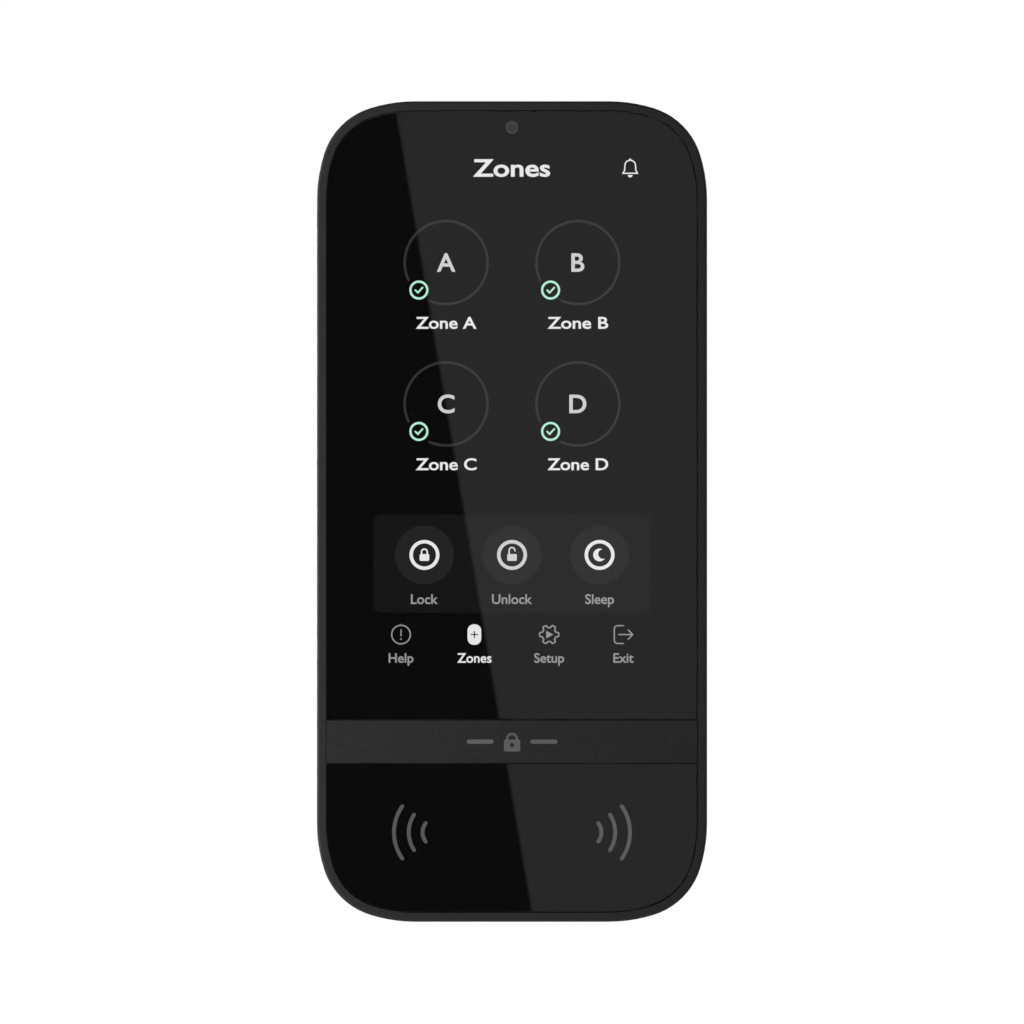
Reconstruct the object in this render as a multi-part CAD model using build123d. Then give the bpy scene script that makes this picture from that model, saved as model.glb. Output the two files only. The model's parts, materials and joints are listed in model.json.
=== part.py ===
from build123d import *

import os
from math import cos, radians, sin

# An alarm keypad panel for a wall. The pieces are drawn as the panel is seen from the front:
# X to the right, Y up the wall, Z out from the wall, with 0 at the middle of the bracket's
# back face. They are turned upright as they are written, so that +Z is up and the panel
# looks along -Y. Every size is in millimetres.

# Outline, seen from the front: straight edges and corners of three tangent arcs
WIDTH = 80.84
HEIGHT = 170.0
BIG_RADIUS = 31.48
SMALL_RADIUS = 14.62
BLEND_ANGLE = 17.35

# Depths from the wall
BRACKET_FRONT = 1.5
COVER_BACK = 1.8
COVER_FLOOR = 3.0
COVER_FRONT = 3.6
HOUSING_BACK = 3.7
BOARD_BACK = 12.2
BOARD_FRONT = 13.2
TRAY_FLOOR = 16.1
CUSHION_BACK = 16.6
BACKLIGHT_BACK = 17.0
SHELF_BACK = 19.2
PANEL_BACK = 19.3
SHELF_FRONT = 20.8
FILM_FRONT = 20.85
GLASS_BACK = 20.9
GLASS_FRONT = 21.9
RIM_FRONT = 22.0

# Front
RIM_WIDTH = 1.9
RIM_EDGE_RADIUS = 0.6
GLASS_INSET = 2.08
GLASS_EDGE = 0.08
UPPER_GLASS_BOTTOM = -43.06
BAND_TOP = -43.22
BAND_BOTTOM = -52.08
BAND_INSET = 2.0
BAND_BACK = 21.0
BAND_SINK = 0.02
BAND_FOOT_X = 31.0
LENS_BACK = 21.3
LENS_SINK = 0.06
LOWER_GLASS_TOP = -52.2

# Display
DISPLAY_Y = 18.65
DISPLAY_WIDTH = 65.5
DISPLAY_HEIGHT = 118.0
PICTURE_Y = 19.9
PICTURE_WIDTH = 62.1
PICTURE_HEIGHT = 110.4
FRAME_WALL = 0.9
FRAME_FLOOR = 0.35

# Light sensor
SENSOR_Y = 79.6
SENSOR_RADIUS = 1.28

# Light guide of the band, and the LEDs under its leg
GUIDE_X = 30.0
GUIDE_BACK = 20.5
GUIDE_FRONT = 20.95
LEG_BACK = 19.8
LEG_TOP = -43.7
LEG_BOTTOM = -44.95
LED_BOARD_BACK = 18.85
LED_BOARD_FRONT = 19.15
LED_PITCH = 10
LED_WIDTH = 1.6
LED_HEIGHT = 0.45

# Reader
READER_INSET = 4.7
READER_TOP = -54.0
READER_BACK = 20.5
ANTENNA_BACK = 20.65
ANTENNA_FRONT = 20.74
COPPER = 0.05
LOOP_PITCH = 1.1
LOOP_WIDTH = 0.6

# Cells: four of 17 x 34.5 mm, in two rows
CELL_RADIUS = 8.4
CELL_LENGTH = 34.5
CELL_NUB = 1.0
CELL_Z = 11.55
CELL_ROWS = (-50.85, -68.45)
CELL_PLAY = 0.12
CELL_BAY_X = 34.75
CONTACT_X = 36.9
TRAY_TOP = -41.75
TRAY_BOTTOM = -77.15

# Bosses and screws
BOARD_BOSSES = [(side * 35.9, y) for side in (-1, 1) for y in (58, 14, -31)]
COVER_BOSSES = [(side * 35.6, y) for side in (-1, 1) for y in (71.5, -24)]
COVER_BOSSES += [(side * 24, -80.4) for side in (-1, 1)]
TRAY_SCREWS = [(side * 35.6, y) for side in (-1, 1) for y in (36, -8)]
BOARD_BOSS_RADIUS = 2.3
COVER_BOSS_RADIUS = 2.0
BOSS_HOLE = 0.85
SCREW_SHANK = 0.8

# Bracket, its hooks and wall screws
BRACKET_INSET = 1.0
SLIDE = 6.0
HOOKS = [(side * 26, y) for side in (-1, 1) for y in (64, -28)]
HOOK_WIDTH = 8.0
HOOK_STEM = 2.2
HOOK_RISE = 4.0
HOOK_BACK = 3.15
HOOK_FRONT = 4.9
WALL_SCREWS = [(side * 20, y) for side in (-1, 1) for y in (44, -6)]
TAB_SCREW_Y = -17.0
SCREW_SLOT_WIDTH = 4.5
SCREW_SLOT_LENGTH = 8.0
CABLE_Y = 21.0
GRID_PITCH = 8.6
GRID_RIB = 1.2
GRID_DEPTH = 0.6

# Lock at the bottom edge
LOCK_Z = 5.4
LOCK_BOX_X = 6.5
LOCK_BOX_BOTTOM = -84.0
LOCK_BOX_FRONT = 10.6
LUG_X = 4.9
LUG_FRONT = 9.0
LUG_GAP = 0.3
LUG_BOTTOM = -84.7
LUG_TOP = -80.6
LOCK_SEAT = -82.6
WASHER_BOTTOM = -83.0
SCREW_HEAD_BOTTOM = -84.5
LOCK_SCREW_TOP = -78.0
INSERT_BOTTOM = -80.3
INSERT_TOP = -77.3
INSERT_RADIUS = 2.3
INSERT_BORE = 1.5
INSERT_GROOVE = (-78.9, -78.6)
LOCK_SHANK = 1.45
LOCK_HEAD = 2.55

# Chips of the main board: middle, width and height of each
CHIP_HEIGHT = 1.1
FRONT_CHIPS = ((-10, 40, 10, 10), (6, 46, 8, 6), (-16, 8, 7, 7))
FRONT_CHIPS += ((12, 4, 5, 6), (-4, -20, 8, 8), (16, -24, 5, 4))
REAR_CHIPS = ((-20, 58, 9, 9), (-30, 40, 5, 6), (26, 6, 6, 6))
REAR_CHIPS += ((-29, -8, 5, 5), (10, -33, 8, 5), (-12, -34, 6, 5))
CAN_MIDDLE = (14, 58)

# Plunger, button and terminals on the back of the main board
PLUNGER_Y = -6.0
BUTTON_X = 0.0
BUTTON_Y = 6.0
BUZZER_X = -24.0
BUZZER_Y = 20.0
TERMINAL_PITCH = 5.0
TERMINAL_BOTTOM = 29.5
TERMINAL_TOP = 37.5
TERMINAL_SCREW_Y = 34.0
TERMINAL_BACK = 3.4
TERMINAL_HEAD_SEAT = 5.4
TERMINAL_CAGE_ROOM = 5.6
CAGE_BACK = 6.85
CAGE_FRONT = 11.2


def slab(sketch, low, high):
    """The sketch made solid between two depths."""
    return extrude(Pos(0, 0, low) * sketch, high - low)


def block(x0, x1, y0, y1, z0, z1):
    """A rectangular block between two corners."""
    middle = Pos((x0 + x1) / 2, (y0 + y1) / 2, (z0 + z1) / 2)
    return middle * Box(x1 - x0, y1 - y0, z1 - z0)


def pad(width, height, radius, low, high, x=0.0, y=0.0):
    """A block with rounded corners, centred on x and y."""
    return slab(Pos(x, y) * RectangleRounded(width, height, radius), low, high)


def disc(radius, low, high, x=0.0, y=0.0):
    """A round bar along the depth."""
    return Pos(x, y, (low + high) / 2) * Cylinder(radius, high - low)


def upright_bar(radius, low, high, x, z):
    """A round bar along Y, between two heights."""
    return Pos(x, (low + high) / 2, z) * Rot(90, 0, 0) * Cylinder(radius, high - low)


def level_bar(radius, low, high, y, z):
    """A round bar along X."""
    return Pos((low + high) / 2, y, z) * Rot(0, 90, 0) * Cylinder(radius, high - low)


def coil(radius, wire, length, turns):
    """A coil spring along the depth, that long from the first wire's middle to the last's."""
    route = Helix(length / turns, length, radius)
    section = Plane(route @ 0, z_dir=route % 0) * Circle(wire / 2)
    return sweep(section, path=route, is_frenet=True)


def group(pieces):
    """Separate solids that share one node."""
    return Compound([solid for piece in pieces for solid in piece.solids()])


def outline(inset):
    """The panel's outline, moved inwards."""
    spread = BIG_RADIUS - SMALL_RADIUS
    tip = BIG_RADIUS - spread * cos(radians(BLEND_ANGLE))
    shoulder = tip + spread * sin(radians(BLEND_ANGLE))
    half_width, half_height = WIDTH / 2, HEIGHT / 2
    big, small = BIG_RADIUS - inset, SMALL_RADIUS - inset
    side_arc = CenterArc((half_width - BIG_RADIUS, half_height - shoulder), big, 0, BLEND_ANGLE)
    tip_arc = CenterArc((half_width - tip, half_height - tip), small, BLEND_ANGLE, 90 - 2 * BLEND_ANGLE)
    top_arc = CenterArc((half_width - shoulder, half_height - BIG_RADIUS), big, 90 - BLEND_ANGLE, BLEND_ANGLE)
    right = Curve() + [side_arc, tip_arc, top_arc]
    corners = right + mirror(right, Plane.YZ)
    corners += mirror(corners, Plane.XZ)
    for sign in (-1, 1):
        edge_x, edge_y = sign * (half_width - inset), sign * (half_height - inset)
        corners += Line((edge_x, shoulder - half_height), (edge_x, half_height - shoulder))
        corners += Line((shoulder - half_width, edge_y), (half_width - shoulder, edge_y))
    return make_face(corners)


def plate(inset, low, high):
    """A plate of the panel's outline, moved inwards."""
    return slab(outline(inset), low, high)


def ring(outer, inner, low, high):
    """A band that follows the outline, between two insets."""
    return plate(outer, low, high) - plate(inner, low, high)


def across(y0, y1, low, high):
    """A block over the whole width between two heights."""
    return block(-WIDTH, WIDTH, y0, y1, low, high)


def slot_rect(length, width, low, high, x, y):
    """A slot along X with round ends."""
    return slab(Pos(x, y) * SlotOverall(length, width), low, high)


# ---- Front --------------------------------------------------------------------------------


def lock_pocket(wall):
    """The space that the bracket's lug fills at the bottom edge, grown by a wall."""
    half = LUG_X + LUG_GAP + wall
    return block(-half, half, -HEIGHT, INSERT_BOTTOM, 0, LUG_FRONT + LUG_GAP + wall)


def front_housing():
    """The moulding that carries the glass: rim, side walls, deck and bosses."""
    shell = plate(0, HOUSING_BACK, RIM_FRONT)
    shell = fillet(shell.faces().sort_by(Axis.Z)[-1].edges(), RIM_EDGE_RADIUS)
    shell = chamfer(shell.faces().sort_by(Axis.Z)[0].edges(), 0.25)
    shell -= plate(RIM_WIDTH, HOUSING_BACK, SHELF_BACK)
    shell -= plate(RIM_WIDTH, SHELF_FRONT, RIM_FRONT)
    shell -= pad(DISPLAY_WIDTH + 0.5, DISPLAY_HEIGHT + 0.5, 1, SHELF_BACK, SHELF_FRONT, y=DISPLAY_Y)
    shell -= block(-11, 11, -41.7, -40, SHELF_BACK, 20.0)
    shell -= disc(1.1, SHELF_BACK, SHELF_FRONT, y=SENSOR_Y)
    shell -= across(TRAY_BOTTOM - 0.15, -46.4, SHELF_BACK, 20.1) & plate(RIM_WIDTH, SHELF_BACK, 20.1)
    shell -= reader_sheet(-0.2, READER_BACK, SHELF_FRONT)
    shell -= guide_room(BAND_BOTTOM + 0.3, BAND_TOP - 0.2, GUIDE_BACK, SHELF_FRONT)
    shell -= guide_room(LEG_BOTTOM - 0.15, LEG_TOP + 0.2, SHELF_BACK, GUIDE_BACK)
    shell += housing_bosses()
    shell -= [disc(0.8, SHELF_BACK, 20.35, x, y) for x, y in TRAY_SCREWS]
    shell -= ring(0.7, 1.3, HOUSING_BACK, HOUSING_BACK + 0.35)
    shell -= lock_pocket(0)
    return shell - upright_bar(INSERT_RADIUS + 0.05, INSERT_BOTTOM, INSERT_TOP, 0, LOCK_Z)


def guide_room(y0, y1, low, high):
    """Room in the deck for the band's light guide, a little wider than it."""
    return block(-GUIDE_X - 0.2, GUIDE_X + 0.2, y0, y1, low, high)


def housing_bosses():
    """Screw bosses under the deck, and the box round the lock."""
    bosses = [disc(BOARD_BOSS_RADIUS, BOARD_FRONT, SHELF_BACK, x, y) for x, y in BOARD_BOSSES]
    bosses += [disc(COVER_BOSS_RADIUS, COVER_FLOOR, SHELF_BACK, x, y) for x, y in COVER_BOSSES]
    holes = [disc(BOSS_HOLE, BOARD_FRONT, SHELF_BACK - 1, x, y) for x, y in BOARD_BOSSES]
    holes += [disc(BOSS_HOLE, COVER_FLOOR, 12, x, y) for x, y in COVER_BOSSES]
    box = block(-LOCK_BOX_X, LOCK_BOX_X, LOCK_BOX_BOTTOM, INSERT_TOP, HOUSING_BACK, LOCK_BOX_FRONT)
    return (Part() + bosses - holes) + box


def cover_glass(sketch_side):
    """One of the two flat cover glasses, with a fine ground edge at the front."""
    glass = plate(GLASS_INSET, GLASS_BACK, GLASS_FRONT) & sketch_side
    return chamfer(glass.faces().sort_by(Axis.Z)[-1].edges(), GLASS_EDGE)


def upper_glass():
    return cover_glass(across(UPPER_GLASS_BOTTOM, HEIGHT, GLASS_BACK, GLASS_FRONT))


def lower_glass():
    return cover_glass(across(-HEIGHT, LOWER_GLASS_TOP, GLASS_BACK, GLASS_FRONT))


def upper_bonding_film():
    """Black film behind the upper glass, open over the picture and the sensor."""
    film = plate(GLASS_INSET, SHELF_FRONT, FILM_FRONT)
    film &= across(UPPER_GLASS_BOTTOM, HEIGHT, SHELF_FRONT, FILM_FRONT)
    film -= pad(PICTURE_WIDTH, PICTURE_HEIGHT, 1, SHELF_FRONT, FILM_FRONT, y=PICTURE_Y)
    return film - disc(SENSOR_RADIUS + 0.05, SHELF_FRONT, FILM_FRONT, y=SENSOR_Y)


def lower_bonding_film():
    film = plate(GLASS_INSET, SHELF_FRONT, FILM_FRONT)
    return film & across(-HEIGHT, LOWER_GLASS_TOP, SHELF_FRONT, FILM_FRONT)


def padlock(low, high):
    """A small padlock sign: a body and its shackle."""
    body = pad(3.4, 2.5, 0.4, low, high, y=-0.8)
    bow = disc(1.25, low, high, y=0.6) - disc(0.75, low, high, y=0.6)
    bow += block(-1.25, -0.75, 0.2, 0.6, low, high) + block(0.75, 1.25, 0.2, 0.6, low, high)
    bow -= block(-0.75, 0.75, 0.2, 0.6, low, high)
    return body + bow - disc(0.42, low, high, y=-0.7)


def status_marks(low, high):
    """The lit signs of the band: a padlock between two bars."""
    middle = (BAND_TOP + BAND_BOTTOM) / 2
    bars = [pad(5.6, 0.9, 0.44, low, high, x=side * 6.6) for side in (-1, 1)]
    return [Pos(0, middle, 0) * piece for piece in [padlock(low, high)] + bars]


def status_lenses():
    return group(status_marks(LENS_BACK, RIM_FRONT - LENS_SINK))


def indicator_band():
    """The matt band between the glasses, on a foot at each end, thin behind its signs."""
    front = RIM_FRONT - BAND_SINK
    band = plate(BAND_INSET, BAND_BACK, front) & across(BAND_BOTTOM, BAND_TOP, BAND_BACK, front)
    band = chamfer(band.faces().sort_by(Axis.Z)[-1].edges(), 0.08)
    feet = plate(BAND_INSET, SHELF_FRONT, BAND_BACK) & across(BAND_BOTTOM, BAND_TOP, SHELF_FRONT, BAND_BACK)
    feet -= block(-BAND_FOOT_X, BAND_FOOT_X, BAND_BOTTOM - 1, BAND_TOP + 1, SHELF_FRONT, BAND_BACK)
    return band + feet - status_marks(LENS_BACK, RIM_FRONT)


def status_light_guide():
    """Clear guide behind the band, with a leg that takes in the LEDs' light."""
    top = block(-GUIDE_X, GUIDE_X, BAND_BOTTOM + 0.5, BAND_TOP - 0.4, GUIDE_BACK, GUIDE_FRONT)
    return top + block(-GUIDE_X, GUIDE_X, LEG_BOTTOM, LEG_TOP, LEG_BACK, GUIDE_BACK)


def led_board():
    """Narrow flexible board with a row of LEDs under the guide's leg."""
    strip = block(-GUIDE_X, GUIDE_X, LEG_BOTTOM - 1.05, LEG_TOP + 0.8, LED_BOARD_BACK, LED_BOARD_FRONT)
    half, top = LED_WIDTH / 2, LED_BOARD_FRONT + LED_HEIGHT
    lamps = [
        block(x - half, x + half, LEG_BOTTOM + 0.25, LEG_TOP - 0.2, LED_BOARD_FRONT, top)
        for x in range(-25, 26, LED_PITCH)
    ]
    return group([strip] + lamps)


def sensor_window():
    """Smoked disc in the film's round opening."""
    return disc(SENSOR_RADIUS, SHELF_FRONT, FILM_FRONT, y=SENSOR_Y)


def light_sensor():
    """Ambient light sensor on its own small board behind the deck."""
    board = pad(9, 3.6, 0.4, 17.9, 18.5, y=SENSOR_Y + 0.9)
    chip = block(-1, 1, SENSOR_Y - 0.9, SENSOR_Y + 0.9, 18.5, 19.1)
    return group([board, chip])


# ---- Reader -------------------------------------------------------------------------------


def reader_sheet(shrink, low, high):
    """A sheet of the reader's shape under the lower glass."""
    sheet = plate(READER_INSET + shrink, low, high)
    return sheet & across(-HEIGHT, READER_TOP - shrink, low, high)


def reader_antenna():
    """Flexible antenna film with four loops of copper on it."""
    film = reader_sheet(0, ANTENNA_BACK, ANTENNA_FRONT)
    low, high = ANTENNA_FRONT, ANTENNA_FRONT + COPPER
    starts = [1 + LOOP_PITCH * turn for turn in range(4)]
    loops = [reader_sheet(start, low, high) - reader_sheet(start + LOOP_WIDTH, low, high) for start in starts]
    return group([film] + loops)


def ferrite_sheet():
    return reader_sheet(0.3, READER_BACK, ANTENNA_BACK)


# ---- Display ------------------------------------------------------------------------------


def display_panel():
    """Liquid crystal panel: two thin glasses with the lower one longer, for the ribbon."""
    panel = pad(65, 117.5, 0.8, PANEL_BACK, SHELF_FRONT, y=DISPLAY_Y)
    return panel - block(-40, 40, -45, -38.6, PANEL_BACK + 0.75, SHELF_FRONT)


def backlight_frame():
    """White moulded tray that holds the light guide."""
    frame = pad(DISPLAY_WIDTH, DISPLAY_HEIGHT, 1, BACKLIGHT_BACK, PANEL_BACK - 0.05, y=DISPLAY_Y)
    wide, tall = DISPLAY_WIDTH - 2 * FRAME_WALL, DISPLAY_HEIGHT - 2 * FRAME_WALL
    return frame - pad(wide, tall, 0.6, BACKLIGHT_BACK + FRAME_FLOOR, SHELF_FRONT, y=DISPLAY_Y)


def backlight_guide():
    """Clear acrylic plate that spreads the LEDs' light."""
    low = DISPLAY_Y - DISPLAY_HEIGHT / 2 + 2.6
    high = DISPLAY_Y + DISPLAY_HEIGHT / 2 - 1.0
    middle = (low + high) / 2
    return pad(63.2, high - low, 0.8, BACKLIGHT_BACK + 0.4, PANEL_BACK - 0.1, y=middle)


def backlight_leds():
    """Strip with ten LEDs along the guide's lower edge."""
    low = DISPLAY_Y - DISPLAY_HEIGHT / 2 + 1.0
    strip = block(-31, 31, low, low + 0.5, BACKLIGHT_BACK + 0.5, PANEL_BACK - 0.4)
    lamps = [
        block(x - 1.4, x + 1.4, low + 0.5, low + 1.4, BACKLIGHT_BACK + 0.7, PANEL_BACK - 0.7)
        for x in (6 * step - 27 for step in range(10))
    ]
    return group([strip] + lamps)


def display_cushion():
    """Foam frame between the display and its tray."""
    cushion = pad(64, 116, 1, CUSHION_BACK, BACKLIGHT_BACK, y=DISPLAY_Y)
    return cushion - pad(56, 108, 1, CUSHION_BACK, BACKLIGHT_BACK, y=DISPLAY_Y)


def display_tray():
    """Pressed steel tray: a floor, four walls and a flange screwed under the deck."""
    wide, tall = DISPLAY_WIDTH + 0.4, DISPLAY_HEIGHT + 0.4
    flange = plate(2.6, 18.75, SHELF_BACK) & across(-41.6, 78.3, 18.75, SHELF_BACK)
    walls = pad(wide + 0.9, tall + 0.9, 1.4, TRAY_FLOOR, SHELF_BACK, y=DISPLAY_Y)
    tray = flange + walls - pad(wide, tall, 1, CUSHION_BACK, SHELF_BACK, y=DISPLAY_Y)
    tray -= [disc(2.6, 18, SHELF_BACK, x, y) for x, y in BOARD_BOSSES + COVER_BOSSES]
    tray -= block(-11, 11, -43, -41.02, 18, SHELF_BACK)
    vents = [pad(20, 5, 2.4, TRAY_FLOOR, CUSHION_BACK, y=y) for y in range(-20, 70, 16)]
    return tray - vents - [disc(0.85, 18, SHELF_BACK, x, y) for x, y in TRAY_SCREWS]


def display_tray_screws():
    """Four small screws that hold the tray to the deck."""
    screws = []
    for x, y in TRAY_SCREWS:
        head = disc(1.4, 18.05, 18.75, x, y) - disc(0.5, 18.05, 18.4, x, y)
        screws.append(head + disc(0.75, 18.75, SHELF_BACK + 1.1, x, y))
    return group(screws)


def display_flex():
    """Ribbon from the panel's lower edge, round the tray and back to the main board."""
    edge, bend, down, turn = -40.1, -41.35, 19.6, 14.1
    route = FilletPolyline((0, edge, down), (0, bend, down), (0, bend, turn), (0, -38.4, turn), radius=0.6)
    section = Plane(route @ 0, x_dir=(1, 0, 0), z_dir=route % 0) * Rectangle(20, 0.2)
    return sweep(section, path=route)


# ---- Main board ---------------------------------------------------------------------------


def main_board():
    """Printed circuit board on the bosses, notched round the rear cover's bosses."""
    board = plate(2.6, BOARD_BACK, BOARD_FRONT) & across(-40.7, 73.4, BOARD_BACK, BOARD_FRONT)
    board -= [disc(1.1, BOARD_BACK, BOARD_FRONT, x, y) for x, y in BOARD_BOSSES]
    return board - [disc(2.7, BOARD_BACK, BOARD_FRONT, x, y) for x, y in COVER_BOSSES]


def board_chips():
    """Processor, memory, power and touch chips on both faces of the board."""
    front, rear = BOARD_FRONT + CHIP_HEIGHT, BOARD_BACK - CHIP_HEIGHT
    chips = [pad(wide, tall, 0.2, BOARD_FRONT, front, x, y) for x, y, wide, tall in FRONT_CHIPS]
    chips += [pad(wide, tall, 0.2, rear, BOARD_BACK, x, y) for x, y, wide, tall in REAR_CHIPS]
    return group(chips)


def radio_shield_can():
    """Folded tinplate can over the radio, with a row of vent holes."""
    can = pad(24, 20, 0.6, BOARD_BACK - 2.6, BOARD_BACK, *CAN_MIDDLE)
    can -= pad(23.5, 19.5, 0.4, BOARD_BACK - 2.35, BOARD_BACK, *CAN_MIDDLE)
    x, y = CAN_MIDDLE
    vents = [disc(0.6, 9, BOARD_BACK - 2.3, x + 3 * i, y + 3 * j) for i in range(-3, 4) for j in (-2, 0, 2)]
    return can - vents


def board_connectors():
    """Sockets for the display ribbon, the LED board and the reader, and a service header."""
    ribbon = block(-11.5, 11.5, -38.4, -34.2, BOARD_FRONT, 15.0)
    side = [block(x - 4, x + 4, -39.6, -36.4, BOARD_FRONT, 14.8) for x in (-20, 20)]
    header = block(18, 28, -39.8, -37.2, 8.2, BOARD_BACK)
    header -= [block(x - 0.35, x + 0.35, -38.85, -38.15, 8.2, 10.5) for x in range(19, 28, 2)]
    return group([ribbon] + side + [header])


def radio_antennas():
    """Two stamped antennas that stand on legs near the board's top edge."""
    antennas = []
    for side in (-1, 1):
        arm = block(10, 26, 70.2, 74.0, 7.0, 7.35)
        legs = block(10, 10.35, 70.2, 72.2, 7.35, BOARD_BACK) + block(14, 14.35, 70.2, 72.2, 7.35, BOARD_BACK)
        tip = block(25.65, 26, 70.2, 74.0, 7.35, 9.5)
        whole = arm + legs + tip
        antennas.append(whole if side > 0 else mirror(whole, Plane.YZ))
    return group(antennas)


def buzzer():
    """Round sounder whose port faces the grille of the rear cover."""
    can = disc(6.5, 6.6, BOARD_BACK, BUZZER_X, BUZZER_Y)
    can = chamfer(can.faces().sort_by(Axis.Z)[0].edges(), 0.5)
    return can - disc(1.2, 6.6, 9.6, BUZZER_X, BUZZER_Y)


def self_tapping(x, y, seat, head, shank, low):
    """A pan head screw into a boss: the head lies behind its seat."""
    body = disc(head, seat - low, seat, x, y)
    body = fillet(body.faces().sort_by(Axis.Z)[0].edges(), low * 0.4)
    body -= block(x - head * 0.55, x + head * 0.55, y - 0.2, y + 0.2, seat - low, seat - low * 0.45)
    body -= block(x - 0.2, x + 0.2, y - head * 0.55, y + head * 0.55, seat - low, seat - low * 0.45)
    return body + disc(SCREW_SHANK, seat, seat + shank, x, y)


def board_screws():
    return group([self_tapping(x, y, BOARD_BACK, 1.9, 5.6, 1.1) for x, y in BOARD_BOSSES])


# ---- Tamper plunger and power button ------------------------------------------------------


def tamper_plunger():
    """Plunger that rests on the bracket: cap, flange behind the cover, and stem."""
    cap = disc(2.4, BRACKET_FRONT + 0.05, COVER_FLOOR + 0.1, y=PLUNGER_Y)
    cap = fillet(cap.faces().sort_by(Axis.Z)[0].edges(), 0.5)
    flange = disc(3.6, COVER_FLOOR + 0.1, COVER_FLOOR + 0.9, y=PLUNGER_Y)
    return cap + flange + disc(1.1, COVER_FLOOR + 0.9, 9.2, y=PLUNGER_Y)


def tamper_switch():
    """Switch with a well that the plunger's stem reaches into."""
    body = pad(7, 7, 0.5, 8.6, BOARD_BACK, y=PLUNGER_Y)
    body -= disc(1.35, 8.6, 10.6, y=PLUNGER_Y)
    return body - [disc(0.3, 8.6, 8.8, x, PLUNGER_Y + y) for x in (-2.8, 2.8) for y in (-2.8, 2.8)]


def tamper_spring():
    """Coil spring round the stem, between the flange and the switch."""
    wire = 0.32
    low, high = COVER_FLOOR + 0.95 + wire / 2, 8.55 - wire / 2
    return Pos(0, PLUNGER_Y, low) * coil(2.1, wire, high - low, 6)


def power_button():
    """Button in the rear cover, with a flange behind it and a pin towards its switch."""
    cap = disc(2.6, COVER_BACK + 0.1, COVER_FLOOR + 0.1, BUTTON_X, BUTTON_Y)
    cap = fillet(cap.faces().sort_by(Axis.Z)[0].edges(), 0.3)
    cap += disc(3.5, COVER_FLOOR + 0.1, COVER_FLOOR + 0.8, BUTTON_X, BUTTON_Y)
    return cap + disc(1.2, COVER_FLOOR + 0.8, 9.3, BUTTON_X, BUTTON_Y)


def power_switch():
    """Tactile switch under the power button's pin."""
    body = pad(6, 6, 0.4, 9.6, BOARD_BACK, BUTTON_X, BUTTON_Y)
    return body - disc(1.5, 9.6, 10.4, BUTTON_X, BUTTON_Y)


# ---- Terminals for an outside supply ------------------------------------------------------


def poles():
    return [-TERMINAL_PITCH / 2, TERMINAL_PITCH / 2]


def terminal_block():
    """Two-pole clamp terminal, open downwards for the wires and backwards for the screws."""
    body = block(-5.4, 5.4, TERMINAL_BOTTOM, TERMINAL_TOP, TERMINAL_BACK, BOARD_BACK)
    body = chamfer(body.edges().filter_by(Axis.X).group_by(Axis.Z)[0], 0.6)
    for x in poles():
        body -= disc(1.8, TERMINAL_BACK, TERMINAL_HEAD_SEAT, x, TERMINAL_SCREW_Y)
        body -= disc(0.95, TERMINAL_HEAD_SEAT, TERMINAL_CAGE_ROOM, x, TERMINAL_SCREW_Y)
        body -= block(x - 2.05, x + 2.05, TERMINAL_BOTTOM, 36.7, TERMINAL_CAGE_ROOM, CAGE_FRONT + 0.4)
    return body


def terminal_contact_bars():
    """Fixed bar of each pole, inside its cage, with its pin through the board."""
    bars = []
    for x in poles():
        bar = block(x - 1, x + 1, 30.6, 36.7, 7.72, 8.3)
        bars.append(bar + block(x - 0.5, x + 0.5, 36.3, 36.7, 8.3, 11.6))
    return group(bars)


def terminal_cage(x):
    """Rising cage: the screw's thread in one wall, the wire between the bar and the other."""
    low, high = TERMINAL_SCREW_Y - 1.9, TERMINAL_SCREW_Y + 1.9
    cage = block(x - 1.85, x + 1.85, low, high, CAGE_BACK, CAGE_FRONT)
    cage -= block(x - 1.25, x + 1.25, low, high, CAGE_BACK + 0.8, CAGE_FRONT - 0.6)
    return cage - disc(0.82, CAGE_BACK, CAGE_BACK + 0.8, x, TERMINAL_SCREW_Y)


def terminal_screw(x):
    """Captive clamp screw with a slot in its head."""
    head = disc(1.6, 4.0, 5.3, x, TERMINAL_SCREW_Y)
    head -= block(x - 1.6, x + 1.6, TERMINAL_SCREW_Y - 0.25, TERMINAL_SCREW_Y + 0.25, 4.0, 4.7)
    return head + disc(0.75, 5.3, 7.64, x, TERMINAL_SCREW_Y)


# ---- Batteries ----------------------------------------------------------------------------


def battery_tray():
    """Cradle for the four cells, open towards the rear cover."""
    tray = plate(2.15, 8, 19.1) & block(-37.9, 37.9, TRAY_BOTTOM, TRAY_TOP, 8, 19.1)
    bore = CELL_RADIUS + CELL_PLAY
    for y in CELL_ROWS:
        tray -= level_bar(bore, -CELL_BAY_X, CELL_BAY_X, y, CELL_Z)
        tray -= block(-CELL_BAY_X, CELL_BAY_X, y - bore, y + bore, 7, CELL_Z)
    for side in (-1, 1):
        near, far = sorted((side * CELL_BAY_X, side * (CONTACT_X + 0.4)))
        tray -= block(near, far, -73.3, -44.2, 7, 17.4)
        tray -= block(near, far, -44.3, TRAY_TOP, 7, 12.4)
    tray -= block(-31, 31, -46.6, TRAY_TOP, 18.6, 20)
    return tray - disc(2.4, 7, 20, *COVER_BOSSES[-1]) - disc(2.4, 7, 20, *COVER_BOSSES[-2])


def battery_cell(side, y):
    """One lithium cell: sleeve, rolled shoulder and positive nub on its right."""
    start = -CELL_LENGTH if side < 0 else 0
    end = start + CELL_LENGTH
    can = level_bar(CELL_RADIUS, start, end - CELL_NUB, y, CELL_Z)
    can = fillet(can.edges().filter_by(GeomType.CIRCLE), 0.7)
    return can + level_bar(2.9, end - CELL_NUB, end, y, CELL_Z)


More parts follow.
